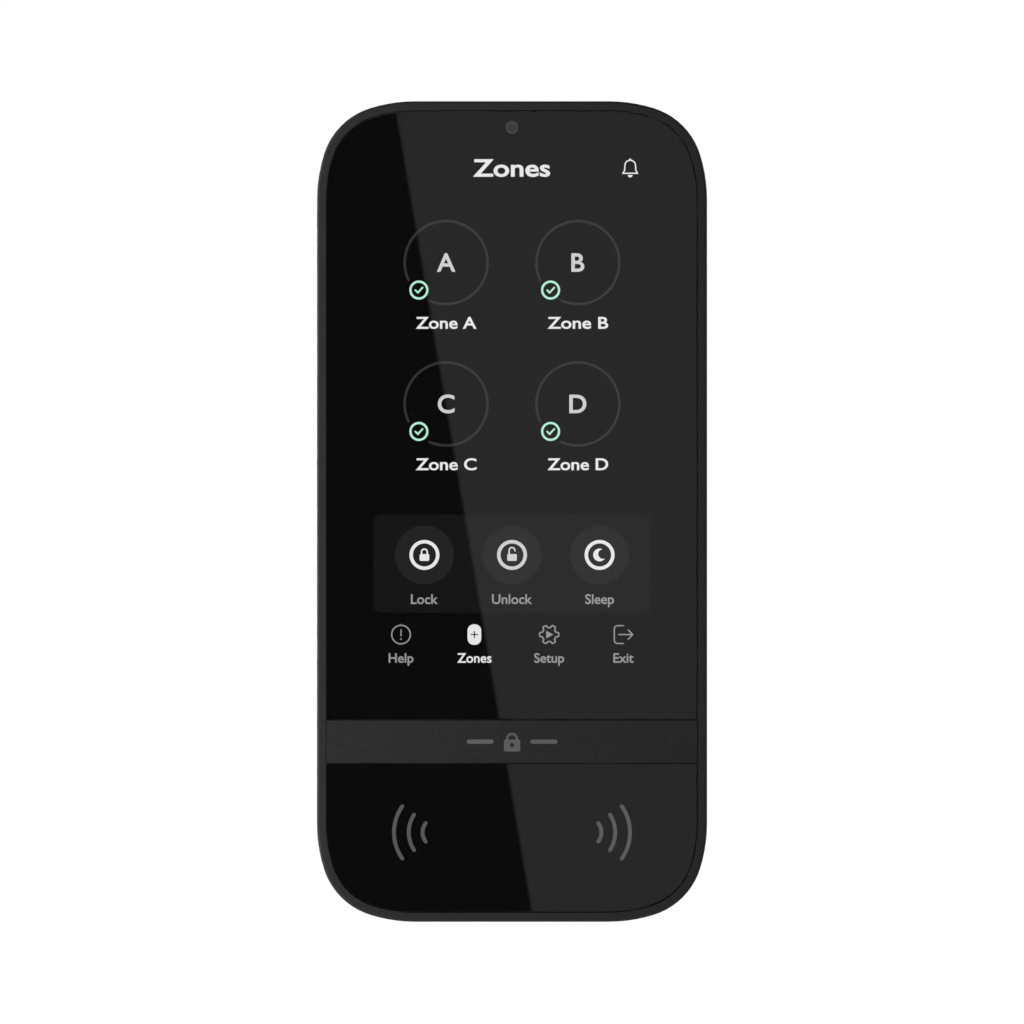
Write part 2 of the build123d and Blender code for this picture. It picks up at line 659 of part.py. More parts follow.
def battery_springs():
    """A coil spring behind each row's negative end."""
    wire = 0.5
    length = CONTACT_X - CELL_LENGTH - wire - 0.1
    start = 0.05 + wire / 2 - CONTACT_X
    turned = Rot(0, 90, 0) * coil(4.0, wire, length, 2.5)
    return group([Pos(start, y, CELL_Z) * turned for y in CELL_ROWS])


def battery_contacts():
    """A plate at each end joins the two rows, with a tail to the main board."""
    plates = []
    for side in (-1, 1):
        near, far = sorted((side * CONTACT_X, side * (CONTACT_X + 0.3)))
        whole = block(near, far, -72.9, -44.4, 6.5, 16.8)
        whole += block(near, far, -44.4, -38.4, 10.6, 11.9)
        inner, outer = sorted((side * 34.8, side * (CONTACT_X + 0.3)))
        whole += block(inner, outer, -40.4, -38.4, 11.9, BOARD_BACK)
        plates.append(whole)
    for y in CELL_ROWS:
        plates[1] += level_bar(3.2, CELL_LENGTH, CONTACT_X, y, CELL_Z)
    return group(plates)


# ---- Rear cover and lock ------------------------------------------------------------------


def screw_pocket(x, y, wall):
    """Room in the rear cover for a wall screw's head while the panel slides."""
    wide, tall = 15 + 2 * wall, 11 + SLIDE + 1 + 2 * wall
    return pad(wide, tall, 3 + wall, COVER_BACK - wall, 4.0 + wall, x, y - SLIDE / 2)


def hook_slot(x, y):
    """Slot that a hook of the bracket stands in: its top edge rests on the hook."""
    top = y + HOOK_STEM / 2 + 0.15
    bottom = y - HOOK_STEM / 2 - SLIDE - 0.3
    return block(x - HOOK_WIDTH / 2 - 0.4, x + HOOK_WIDTH / 2 + 0.4, bottom, top, 0, COVER_FLOOR)


def rear_cover():
    """Shallow cover with a tongue in the housing, slots for the hooks and a cable window."""
    cover = plate(0.35, COVER_BACK, COVER_FRONT) - plate(3.3, COVER_FLOOR, COVER_FRONT)
    cover = chamfer(cover.faces().sort_by(Axis.Z)[0].edges(), 0.3)
    cover += ring(2.05, 3.3, COVER_FRONT, 5.2)
    pockets = WALL_SCREWS + [(0, TAB_SCREW_Y)]
    cover += [screw_pocket(x, y, 1.0) & plate(3, COVER_BACK + 0.3, 6) for x, y in pockets]
    cover -= [screw_pocket(x, y, 0) for x, y in pockets]
    cover -= [hook_slot(x, y) for x, y in HOOKS]
    cover -= pad(18, 12.5, 1.5, COVER_BACK, COVER_FLOOR, y=CABLE_Y + 0.25)
    cover -= disc(2.65, COVER_BACK, COVER_FLOOR, y=PLUNGER_Y)
    cover -= disc(2.8, COVER_BACK, COVER_FLOOR, BUTTON_X, BUTTON_Y)
    grille = [(BUZZER_X + 2.6 * i, BUZZER_Y + 2.6 * j) for i in (-1, 0, 1) for j in (-1, 0, 1)]
    cover -= [disc(0.7, COVER_BACK, COVER_FLOOR, x, y) for x, y in grille]
    for x, y in COVER_BOSSES:
        cover -= disc(2.05, COVER_BACK, COVER_BACK + 0.8, x, y) + disc(1.0, COVER_BACK, COVER_FLOOR, x, y)
        cover -= disc(2.35, COVER_FLOOR, 6, x, y)
    cover -= ring(0.75, 1.25, COVER_FRONT - 0.35, COVER_FRONT)
    return cover - lock_pocket(1.5)


def rear_gasket():
    """Soft seal between the rear cover and the housing."""
    seal = ring(0.78, 1.22, COVER_FRONT - 0.33, HOUSING_BACK + 0.33)
    return seal - lock_pocket(1.5)


def rear_cover_screws():
    return group([self_tapping(x, y, COVER_BACK + 0.8, 1.85, 7.4, 0.7) for x, y in COVER_BOSSES])


def lock_insert():
    """Brass insert in the housing that takes the lock screw."""
    insert = upright_bar(INSERT_RADIUS, INSERT_BOTTOM, INSERT_TOP, 0, LOCK_Z)
    insert -= upright_bar(INSERT_RADIUS, *INSERT_GROOVE, 0, LOCK_Z)
    insert += upright_bar(INSERT_RADIUS - 0.2, INSERT_BOTTOM, INSERT_TOP, 0, LOCK_Z)
    return insert - upright_bar(INSERT_BORE, INSERT_BOTTOM, INSERT_TOP, 0, LOCK_Z)


def lock_screw():
    """Low head screw from below, with a hexagon socket."""
    head = upright_bar(LOCK_HEAD, SCREW_HEAD_BOTTOM, WASHER_BOTTOM, 0, LOCK_Z)
    head = fillet(head.faces().sort_by(Axis.Y)[0].edges(), 0.3)
    socket = Plane((0, SCREW_HEAD_BOTTOM, LOCK_Z), z_dir=(0, 1, 0)) * RegularPolygon(1.15, 6)
    head -= extrude(socket, 0.9)
    return head + upright_bar(LOCK_SHANK, WASHER_BOTTOM, LOCK_SCREW_TOP, 0, LOCK_Z)


def lock_screw_washer():
    washer = upright_bar(LOCK_HEAD + 0.1, WASHER_BOTTOM, LOCK_SEAT, 0, LOCK_Z)
    return washer - upright_bar(LOCK_SHANK + 0.1, WASHER_BOTTOM, LOCK_SEAT, 0, LOCK_Z)


# ---- Wall bracket -------------------------------------------------------------------------


def hook(x, y):
    """L-shaped hook: a stem out of the plate and a tip that points up."""
    wide = HOOK_WIDTH / 2
    low, high = y - HOOK_STEM / 2, y + HOOK_STEM / 2
    stem = block(x - wide, x + wide, low, high, 0, HOOK_FRONT)
    tip = block(x - wide, x + wide, low, high + HOOK_RISE, HOOK_BACK, HOOK_FRONT)
    tip = chamfer(tip.edges().filter_by(Axis.X).group_by(Axis.Y)[-1], 0.5)
    return stem + tip


def tamper_tab():
    """Slits round the break-off tab, held at its corners by thin bridges."""
    slits = block(-9, -8.2, -25, -2, 0, BRACKET_FRONT) + block(8.2, 9, -25, -2, 0, BRACKET_FRONT)
    slits += block(-7, 7, -26.8, -26, 0, BRACKET_FRONT) + block(-7, 7, -1, -0.2, 0, BRACKET_FRONT)
    return slits


def lug():
    """Foot at the bottom edge with a stepped hole for the lock screw."""
    foot = block(-LUG_X, LUG_X, LUG_BOTTOM, LUG_TOP, 0, LUG_FRONT)
    foot = chamfer(foot.faces().sort_by(Axis.Z)[-1].edges(), 0.3)
    foot -= upright_bar(LOCK_HEAD + 0.3, LUG_BOTTOM, LOCK_SEAT, 0, LOCK_Z)
    return foot - upright_bar(LOCK_SHANK + 0.15, LUG_BOTTOM, LUG_TOP, 0, LOCK_Z)


def bracket_grid():
    """Shallow pockets in the wall side, in a grid that stays clear of everything else."""
    busy = [(0, y, 14, 18) for y in (TAB_SCREW_Y, -4, CABLE_Y)] + [(0, LUG_TOP, 9, 9)]
    busy += [(x, y, 7.5, 5.5) for x, y in WALL_SCREWS + HOOKS]
    busy += [(side * 24, CABLE_Y, 8, 9.5) for side in (-1, 1)]
    busy += [(side * 18, y, 10.5, 7) for side in (-1, 1) for y in (-52, -67)]
    half, pockets = GRID_PITCH / 2, []
    for i in range(-4, 5):
        for j in range(-9, 10):
            x, y = i * GRID_PITCH, j * GRID_PITCH
            corner = abs(x) > 3 * GRID_PITCH and abs(y) > 8 * GRID_PITCH
            taken = any(abs(x - cx) < w + half - 2 and abs(y - cy) < h + half - 2 for cx, cy, w, h in busy)
            if not (corner or taken):
                size = GRID_PITCH - GRID_RIB
                pockets.append(pad(size, size, 1, 0, GRID_DEPTH, x, y))
    return pockets


def wall_bracket():
    """Plate on the wall with four hooks, screw slots, a cable entry and the lug."""
    bracket = plate(BRACKET_INSET, 0, BRACKET_FRONT) - bracket_grid()
    bracket = chamfer(bracket.faces().sort_by(Axis.Z)[-1].edges(), 0.3)
    bracket -= pad(22, 14, 2, 0, BRACKET_FRONT, y=CABLE_Y)
    slot_size = (SCREW_SLOT_LENGTH, SCREW_SLOT_WIDTH)
    bracket -= [slot_rect(*slot_size, 0, BRACKET_FRONT, x, y) for x, y in WALL_SCREWS]
    bracket -= disc(SCREW_SLOT_WIDTH / 2, 0, BRACKET_FRONT, y=TAB_SCREW_Y)
    bracket -= tamper_tab()
    bracket -= [pad(11, 14, 2, 0, BRACKET_FRONT, side * 24, CABLE_Y) for side in (-1, 1)]
    bracket -= [pad(16, 9, 2, 0, BRACKET_FRONT, side * 18, y) for side in (-1, 1) for y in (-52, -67)]
    bracket -= block(-LUG_X - 0.1, LUG_X + 0.1, -HEIGHT, LUG_TOP, 0, BRACKET_FRONT)
    bracket += [hook(x, y) for x, y in HOOKS]
    return bracket + lug()


# ---- All the pieces -----------------------------------------------------------------------

PIECES = {
    piece.__name__: piece
    for piece in (
        front_housing, upper_glass, lower_glass, upper_bonding_film, lower_bonding_film,
        indicator_band, status_lenses, status_light_guide, led_board, sensor_window, light_sensor,
        reader_antenna, ferrite_sheet, display_panel, backlight_frame, backlight_guide,
        backlight_leds, display_cushion, display_tray, display_tray_screws, display_flex,
        main_board, board_chips, radio_shield_can, board_connectors, radio_antennas, buzzer,
        board_screws, tamper_plunger, tamper_switch, tamper_spring, power_button, power_switch,
        terminal_block, terminal_contact_bars, battery_tray, battery_springs, battery_contacts,
        rear_cover, rear_gasket, rear_cover_screws, lock_insert, lock_screw, lock_screw_washer,
        wall_bracket,
    )
}


def write(name, shape):
    """Turns a piece upright and writes it."""
    export_step(Rot(90, 0, 0) * shape, f"parts/{name}.step")


os.makedirs("parts", exist_ok=True)
for name, make in PIECES.items():
    write(name, make())
for number, x in enumerate(poles(), 1):
    write(f"terminal_screw_{number}", terminal_screw(x))
    write(f"terminal_cage_{number}", terminal_cage(x))
cells = [(side, y) for y in CELL_ROWS for side in (-1, 1)]
for number, (side, y) in enumerate(cells, 1):
    write(f"battery_cell_{number}", battery_cell(side, y))
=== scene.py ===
import json
import math

import bmesh
import bpy
from mathutils import Euler, Matrix, Vector
from mathutils.geometry import tessellate_polygon


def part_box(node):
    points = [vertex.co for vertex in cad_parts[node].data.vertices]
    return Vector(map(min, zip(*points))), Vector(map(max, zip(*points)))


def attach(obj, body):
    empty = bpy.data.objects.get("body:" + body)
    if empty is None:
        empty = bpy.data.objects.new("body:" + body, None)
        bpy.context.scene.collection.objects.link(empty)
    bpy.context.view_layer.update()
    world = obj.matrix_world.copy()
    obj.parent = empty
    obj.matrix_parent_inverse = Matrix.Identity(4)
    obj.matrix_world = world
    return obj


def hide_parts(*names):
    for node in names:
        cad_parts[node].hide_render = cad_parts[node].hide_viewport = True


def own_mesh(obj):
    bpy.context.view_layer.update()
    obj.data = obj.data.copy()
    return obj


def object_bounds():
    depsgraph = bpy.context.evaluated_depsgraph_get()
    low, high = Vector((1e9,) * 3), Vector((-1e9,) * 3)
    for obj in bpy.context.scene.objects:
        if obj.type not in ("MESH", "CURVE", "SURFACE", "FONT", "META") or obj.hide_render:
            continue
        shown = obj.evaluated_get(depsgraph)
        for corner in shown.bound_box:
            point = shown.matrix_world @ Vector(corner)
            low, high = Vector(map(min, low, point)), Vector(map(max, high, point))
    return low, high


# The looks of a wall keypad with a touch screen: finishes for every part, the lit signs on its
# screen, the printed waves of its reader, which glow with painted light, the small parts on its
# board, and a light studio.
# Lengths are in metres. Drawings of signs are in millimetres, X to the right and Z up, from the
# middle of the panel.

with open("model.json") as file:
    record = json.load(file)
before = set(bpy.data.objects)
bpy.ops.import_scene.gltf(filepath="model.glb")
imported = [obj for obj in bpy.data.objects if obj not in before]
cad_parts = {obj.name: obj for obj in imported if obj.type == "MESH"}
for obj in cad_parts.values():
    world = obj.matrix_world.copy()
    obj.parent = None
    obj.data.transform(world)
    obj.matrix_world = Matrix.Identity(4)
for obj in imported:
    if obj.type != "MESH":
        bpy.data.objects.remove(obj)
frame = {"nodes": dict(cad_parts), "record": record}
CAD_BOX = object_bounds()

MM = 0.001
SCREEN_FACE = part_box("display_panel")[0].y
FILM_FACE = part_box("lower_bonding_film")[0].y
GLASS_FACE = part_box("upper_glass")[0].y
BOARD_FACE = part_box("main_board")[0].y
CELL_LENGTH = 0.0345
# In front of this depth, an LED board is only lamps.
LAMP_BACK = -0.01922


# ---- Node trees -----------------------------------------------------------------------------


class Graph:
    """Shorthand for a node tree: graph(kind, {input: value or socket}, setting=value)."""

    def __init__(self, tree):
        self.tree = tree

    def __call__(self, kind, inputs=None, **settings):
        node = self.tree.nodes.new(kind)
        for name, value in settings.items():
            setattr(node, name, value)
        for key, value in (inputs or {}).items():
            self.feed(node.inputs[key], value)
        return node

    def feed(self, socket, value):
        """Links a socket to an input, or sets the input to a value."""
        if isinstance(value, bpy.types.NodeSocket):
            self.tree.links.new(value, socket)
        else:
            socket.default_value = value

    def math(self, operation, *values):
        """A Math node's result."""
        node = self("ShaderNodeMath", dict(enumerate(values)), operation=operation)
        return node.outputs[0]

    def vector(self, operation, first, second):
        """A Vector Math node's result."""
        node = self("ShaderNodeVectorMath", {0: first, 1: second}, operation=operation)
        return node.outputs[0]

    def spread(self, value, low, high, to_low=0.0, to_high=1.0):
        """A value's range stretched to another one, and held at its ends."""
        limits = {"Value": value, "From Min": low, "From Max": high, "To Min": to_low, "To Max": to_high}
        return self("ShaderNodeMapRange", limits).outputs["Result"]

    def noise(self, vector, scale, detail=2.0, distortion=0.0):
        """A cloudy value."""
        values = {"Vector": vector, "Scale": scale, "Detail": detail, "Distortion": distortion}
        return self("ShaderNodeTexNoise", values).outputs[0]

    def grey(self, level):
        """A grey of that level."""
        return self("ShaderNodeCombineColor", {"Red": level, "Green": level, "Blue": level}).outputs[0]

    def blend(self, factor, first, second, how="MIX"):
        """Two colours mixed."""
        node = self("ShaderNodeMix", data_type="RGBA", blend_type=how)
        for key, value in ((0, factor), (6, first), (7, second)):
            self.feed(node.inputs[key], value)
        return node.outputs[2]


def shader_group(name, inputs, outputs):
    """An empty shader node group with named sockets. Returns it, its graph, its inputs and its end."""
    group = bpy.data.node_groups.new(name, "ShaderNodeTree")
    for label, (kind, value) in inputs.items():
        socket = group.interface.new_socket(label, in_out="INPUT", socket_type="NodeSocket" + kind)
        if value is not None:
            socket.default_value = value
    for label, kind in outputs.items():
        group.interface.new_socket(label, in_out="OUTPUT", socket_type="NodeSocket" + kind)
    graph = Graph(group)
    return group, graph, graph("NodeGroupInput").outputs, graph("NodeGroupOutput")


def moulded_grain_group():
    """The pebbled skin of a moulding: round cells of one size, a little uneven."""
    group, graph, given, end = shader_group(
        "moulded_grain",
        {"Vector": ("Vector", None), "Cell": ("Float", 0.0004), "Softness": ("Float", 0.6)},
        {"Height": "Float", "Shade": "Float"},
    )
    scale = graph.math("DIVIDE", 1.0, given["Cell"])
    cells = graph("ShaderNodeTexVoronoi", feature="SMOOTH_F1")
    for key, value in (("Vector", given["Vector"]), ("Scale", scale), ("Smoothness", given["Softness"])):
        graph.feed(cells.inputs[key], value)
    patches = graph.noise(given["Vector"], graph.math("MULTIPLY", scale, 0.3), 3.0)
    height = graph.math("SUBTRACT", graph.math("MULTIPLY", patches, 0.7), cells.outputs["Distance"])
    graph.feed(end.inputs["Height"], height)
    graph.feed(end.inputs["Shade"], graph.spread(height, -0.5, 0.4))
    return group


def handling_group():
    """Traces of hands and dust: broad smears, and fine specks."""
    group, graph, given, end = shader_group(
        "handling",
        {"Vector": ("Vector", None), "Size": ("Float", 0.02), "Amount": ("Float", 1.0)},
        {"Smear": "Float", "Specks": "Float"},
    )
    scale = graph.math("DIVIDE", 1.0, given["Size"])
    smear = graph.spread(graph.noise(given["Vector"], scale, 5.0, 1.6), 0.42, 0.74)
    dust = graph.noise(given["Vector"], graph.math("MULTIPLY", scale, 60.0), 0.0)
    specks = graph.spread(dust, 0.74, 0.8)
    graph.feed(end.inputs["Smear"], graph.math("MULTIPLY", smear, given["Amount"]))
    graph.feed(end.inputs["Specks"], graph.math("MULTIPLY", specks, given["Amount"]))
    return group


def tint_drift_group():
    """A colour that drifts lighter and darker over the surface."""
    group, graph, given, end = shader_group(
        "tint_drift",
        {"Vector": ("Vector", None), "Color": ("Color", (0.5, 0.5, 0.5, 1.0)), "Size": ("Float", 0.01),
         "Drift": ("Float", 0.1)},
        {"Color": "Color"},
    )
    wave = graph.noise(given["Vector"], graph.math("DIVIDE", 1.0, given["Size"]), 4.0, 0.4)
    reach = graph.math("MULTIPLY", given["Drift"], 2.0)
    swing = graph.math("MULTIPLY", graph.math("SUBTRACT", wave, 0.5), reach)
    shade = graph.grey(graph.math("ADD", swing, 1.0))
    graph.feed(end.inputs["Color"], graph.blend(1.0, given["Color"], shade, "MULTIPLY"))
    return group


def brushed_group():
    """Fine lines drawn out along one direction, as on rolled or brushed metal."""
    group, graph, given, end = shader_group(
        "brushed",
        {"Vector": ("Vector", None), "Lines": ("Vector", (1.0, 1.0, 1.0)), "Amount": ("Float", 1.0)},
        {"Line": "Float"},
    )
    drawn = graph.vector("MULTIPLY", given["Vector"], given["Lines"])
    line = graph.noise(drawn, 1.0, 4.0)
    graph.feed(end.inputs["Line"], graph.math("MULTIPLY", graph.spread(line, 0.3, 0.7), given["Amount"]))
    return group


def screen_grid_group():
    """A colour seen on a screen: a fine grid of lit cells with darker gaps between them."""
    group, graph, given, end = shader_group(
        "screen_grid",
        {"Vector": ("Vector", None), "Color": ("Color", (1.0, 1.0, 1.0, 1.0)), "Pitch": ("Float", 0.00009),
         "Gap": ("Float", 0.12), "Dimming": ("Float", 0.3)},
        {"Color": "Color"},
    )
    place = graph("ShaderNodeSeparateXYZ", {0: given["Vector"]}).outputs
    lit = []
    for axis in ("X", "Z"):
        across = graph.math("FRACT", graph.math("DIVIDE", place[axis], given["Pitch"]))
        lit.append(graph.math("GREATER_THAN", across, given["Gap"]))
    gap = graph.math("SUBTRACT", 1.0, graph.math("MULTIPLY", lit[0], lit[1]))
    shade = graph.grey(graph.math("SUBTRACT", 1.0, graph.math("MULTIPLY", gap, given["Dimming"])))
    graph.feed(end.inputs["Color"], graph.blend(1.0, given["Color"], shade, "MULTIPLY"))
    return group


def printed_circuit_group():
    """Tracks and plated holes of a circuit: patches of close lines, along or up the board."""
    group, graph, given, end = shader_group(
        "printed_circuit",
        {"Vector": ("Vector", None), "Pitch": ("Float", 0.0008), "Patch": ("Vector", (0.0048, 0.0036, 1.0))},
        {"Tracks": "Float", "Holes": "Float"},
    )
    place = graph("ShaderNodeSeparateXYZ", {0: given["Vector"]}).outputs
    flat = graph("ShaderNodeCombineXYZ", {"X": place["X"], "Y": place["Z"]}).outputs[0]
    scale = graph.math("DIVIDE", 1.0, given["Pitch"])
    lines = []
    for axis in ("X", "Z"):
        across = graph.math("FRACT", graph.math("MULTIPLY", place[axis], scale))
        lines.append(graph.math("LESS_THAN", across, 0.4))
    patch = graph.vector("SNAP", flat, given["Patch"])
    chance = graph("ShaderNodeTexWhiteNoise", {"Vector": patch}, noise_dimensions="2D").outputs["Value"]
    upright = graph.math("GREATER_THAN", chance, 0.5)
    along = graph.math("MULTIPLY", lines[1], graph.math("SUBTRACT", 1.0, upright))
    runs = graph.math("ADD", graph.math("MULTIPLY", lines[0], upright), along)
    bare = graph.math("LESS_THAN", graph.math("FRACT", graph.math("MULTIPLY", chance, 7.0)), 0.3)
    tracks = graph.math("MULTIPLY", runs, graph.math("SUBTRACT", 1.0, bare))
    holes = graph("ShaderNodeTexVoronoi", feature="F1", voronoi_dimensions="2D")
    graph.feed(holes.inputs["Vector"], flat)
    graph.feed(holes.inputs["Scale"], graph.math("MULTIPLY", scale, 0.18))
    graph.feed(end.inputs["Tracks"], tracks)
    graph.feed(end.inputs["Holes"], graph.spread(holes.outputs["Distance"], 0.085, 0.07))
    return group


GROUPS = {
    make.__name__[: -len("_group")]: make()
    for make in (
        moulded_grain_group, handling_group, tint_drift_group, brushed_group, screen_grid_group,
        printed_circuit_group,
    )
}


# ---- Finishes -------------------------------------------------------------------------------


def linear(level):
    """A display level from 0 to 255 as light."""
    share = level / 255
    return share / 12.92 if share <= 0.04045 else ((share + 0.055) / 1.055) ** 2.4


def colour(red, green, blue):
    """A full colour from its three shares of light."""
    return (red, green, blue, 1.0)


class Finish:
    """A material under way: its graph, its Principled shader and the place on the piece."""

    def __init__(self, name, **constants):
        self.made = bpy.data.materials.new(name)
        self.made.use_nodes = True
        self.made.node_tree.nodes.clear()
        self.graph = Graph(self.made.node_tree)
        self.shader = self.graph("ShaderNodeBsdfPrincipled")
        end = self.graph("ShaderNodeOutputMaterial")
        self.graph.feed(end.inputs["Surface"], self.shader.outputs[0])
        self.place = self.graph("ShaderNodeTexCoord").outputs["Object"]
        for key, value in constants.items():
            self.shader.inputs[key.replace("_", " ").title().replace("Ior", "IOR")].default_value = value

    def group(self, name, **inputs):
        """One of the shared effects, placed with this finish's own values."""
        node = self.graph("ShaderNodeGroup", node_tree=GROUPS[name])
        self.graph.feed(node.inputs["Vector"], self.place)
        for key, value in inputs.items():
            self.graph.feed(node.inputs[key.title()], value)
        return node.outputs

    def tint(self, base, size, drift):
        """A colour that drifts over the piece."""
        return self.group("tint_drift", color=colour(*base), size=size, drift=drift)["Color"]

    def roughness(self, mask, low, high):
        """Roughness that goes from low to high with a mask."""
        self.set("Roughness", self.graph.spread(mask, 0.0, 1.0, low, high))

    def set(self, key, value):
        """Feeds one input of the shader."""
        self.graph.feed(self.shader.inputs[key], value)

    def bump(self, height, depth):
        """Relief of that many metres on the Normal input."""
        node = self.graph("ShaderNodeBump", {"Height": height, "Distance": depth, "Strength": 1.0})
        self.graph.feed(self.shader.inputs["Normal"], node.outputs[0])


def moulding(name, base, rough, cell=0.0004, depth=0.00002, drift=0.12, dust=0.3, **constants):
    """Moulded plastic or rubber: pebbled skin, a drifting tint, smears and a little dust."""
    finish = Finish(name, **constants)
    graph = finish.graph
    grain = finish.group("moulded_grain", cell=cell)
    marks = finish.group("handling", size=0.018, amount=1.0)
    tint = finish.tint(base, 0.012, drift)
    shaded = graph.blend(graph.math("MULTIPLY", grain["Shade"], 0.25), tint, colour(0, 0, 0))
    dusty = graph.math("MULTIPLY", marks["Specks"], dust)
    finish.set("Base Color", graph.blend(dusty, shaded, colour(0.35, 0.34, 0.32)))
    rougher = graph.math("MULTIPLY", grain["Shade"], 0.08)
    smoother = graph.math("MULTIPLY", marks["Smear"], -0.07)
    finish.set("Roughness", graph.math("ADD", graph.math("ADD", rougher, smoother), rough))
    finish.bump(grain["Height"], depth)
    return finish.made


def metal(name, base, rough, lines=(40.0, 900.0, 900.0), depth=0.000004, drift=0.08):
    """Drawn, rolled or plated metal with fine lines and faint stains."""
    finish = Finish(name, metallic=1.0)
    graph = finish.graph
    line = finish.group("brushed", lines=lines)["Line"]
    marks = finish.group("handling", size=0.006, amount=1.0)
    tint = finish.tint(base, 0.003, drift)
    stain = graph.math("MULTIPLY", marks["Smear"], 0.35)
    stained = colour(*(0.55 * share for share in base))
    finish.set("Base Color", graph.blend(stain, tint, stained))
    streaks = graph.math("MULTIPLY", line, 0.14)
    duller = graph.math("ADD", graph.math("MULTIPLY", stain, 0.3), rough)
    finish.set("Roughness", graph.math("ADD", streaks, duller))
    finish.bump(line, depth)
    return finish.made


def cover_glass():
    """Clear glass with the faintest traces of fingers."""
    finish = Finish("cover_glass_finish", transmission_weight=1.0, ior=1.5, roughness=0.0)
    marks = finish.group("handling", size=0.02, amount=1.0)
    tint = finish.tint((0.985, 0.99, 0.99), 0.05, 0.008)
    faint = finish.graph.math("MULTIPLY", marks["Smear"], 0.02)
    finish.set("Base Color", finish.graph.blend(faint, tint, colour(0.9, 0.91, 0.91)))
    return finish.made


def clear_plastic():
    """Acrylic of a light guide, with fine printed dots."""
    finish = Finish("clear_plastic_finish", transmission_weight=1.0, ior=1.49)
    graph = finish.graph
    dots = graph("ShaderNodeTexVoronoi", {"Vector": finish.place, "Scale": 1100.0}, feature="F1")
    mask = graph.spread(dots.outputs["Distance"], 0.3, 0.26)
    marks = finish.group("handling", size=0.01, amount=1.0)
    finish.set("Base Color", graph.blend(mask, colour(0.96, 0.97, 0.97), colour(0.8, 0.82, 0.84)))
    smeared = graph.math("MULTIPLY", marks["Smear"], 0.1)
    finish.set("Roughness", graph.math("ADD", graph.math("MULTIPLY", mask, 0.35), smeared))
    return finish.made


def black_print():
    """Deep black ink on film: almost no light comes back, with fine screen marks."""
    finish = Finish("black_print_finish", specular_ior_level=0.02)
    dots = finish.group("moulded_grain", cell=0.00025)
    tint = finish.tint((0.0022, 0.0023, 0.0023), 0.02, 0.3)
    finish.set("Base Color", tint)
    finish.roughness(dots["Shade"], 0.6, 0.8)
    finish.bump(dots["Height"], 0.0000005)
    return finish.made


def sign_lens(name, level):
    """Smoked lens, a little milky, over an unlit sign."""
    finish = Finish(name, specular_ior_level=0.4)
    grain = finish.group("moulded_grain", cell=0.0003)
    marks = finish.group("handling", size=0.004, amount=1.0)
    tint = finish.tint((level, level, level), 0.003, 0.12)
    finish.set("Base Color", tint)
    finish.roughness(marks["Smear"], 0.42, 0.5)
    finish.bump(grain["Height"], 0.000004)
    return finish.made


def display_glass():
    """The unlit face of a screen: near black, with its grid of cells just there."""
    finish = Finish("display_finish", specular_ior_level=0.02)
    tint = finish.tint((0.0024, 0.0024, 0.0026), 0.03, 0.2)
    finish.set("Base Color", finish.group("screen_grid", color=tint)["Color"])
    marks = finish.group("handling", size=0.02, amount=1.0)
    finish.roughness(marks["Smear"], 0.5, 0.6)
    return finish.made


def foam():
    """Open-celled black foam, with painted shade in the grooves between its cells."""
    finish = Finish("foam_finish", specular_ior_level=0.15)
    cells = finish.group("moulded_grain", cell=0.0007, softness=0.2)
    tint = finish.tint((0.03, 0.03, 0.032), 0.006, 0.2)
    # Painted shade: the sunken grooves between the cells are coloured near black, where shade would fall.
    finish.set("Base Color", finish.graph.blend(cells["Shade"], colour(0.006, 0.006, 0.006), tint))
    finish.roughness(cells["Shade"], 0.98, 0.85)
    finish.bump(cells["Height"], 0.00025)
    return finish.made


def circuit_board():
    """Dark green solder mask over copper tracks, with plated holes."""
    finish = Finish("circuit_board_finish")
    graph = finish.graph
    circuit = finish.group("printed_circuit", pitch=0.0008)
    tint = finish.tint((0.008, 0.05, 0.022), 0.02, 0.15)
    tracks = graph.blend(circuit["Tracks"], tint, colour(0.02, 0.11, 0.045))
    finish.set("Base Color", graph.blend(circuit["Holes"], tracks, colour(0.75, 0.55, 0.25)))
    finish.set("Metallic", circuit["Holes"])
    finish.roughness(circuit["Tracks"], 0.42, 0.3)
    finish.bump(graph.math("SUBTRACT", circuit["Tracks"], circuit["Holes"]), 0.00003)
    return finish.made


def flex_film():
    """Amber carrier film with close copper lines along it."""
    finish = Finish("flex_finish")
    graph = finish.graph
    across = graph("ShaderNodeSeparateXYZ", {0: finish.place}).outputs["X"]
    line = graph.math("GREATER_THAN", graph.math("FRACT", graph.math("DIVIDE", across, 0.0005)), 0.5)
    tint = finish.tint((0.42, 0.15, 0.03), 0.008, 0.15)
    finish.set("Base Color", graph.blend(line, tint, colour(0.62, 0.29, 0.09)))
    marks = finish.group("handling", size=0.006, amount=1.0)
    finish.roughness(marks["Smear"], 0.28, 0.4)
    finish.bump(line, 0.00002)
    return finish.made


def ferrite():
    """Pressed ferrite sheet, cracked into small flakes under its film."""
    finish = Finish("ferrite_finish", specular_ior_level=0.4)
    graph = finish.graph
    spots = {"Vector": finish.place, "Scale": 420.0}
    flakes = graph("ShaderNodeTexVoronoi", spots, feature="DISTANCE_TO_EDGE")
    crack = graph.spread(flakes.outputs["Distance"], 0.06, 0.02)
    tint = finish.tint((0.035, 0.034, 0.036), 0.008, 0.25)
    finish.set("Base Color", graph.blend(crack, tint, colour(0.008, 0.008, 0.008)))
    finish.roughness(crack, 0.42, 0.75)
    finish.bump(graph.math("SUBTRACT", 1.0, crack), 0.00003)
    return finish.made


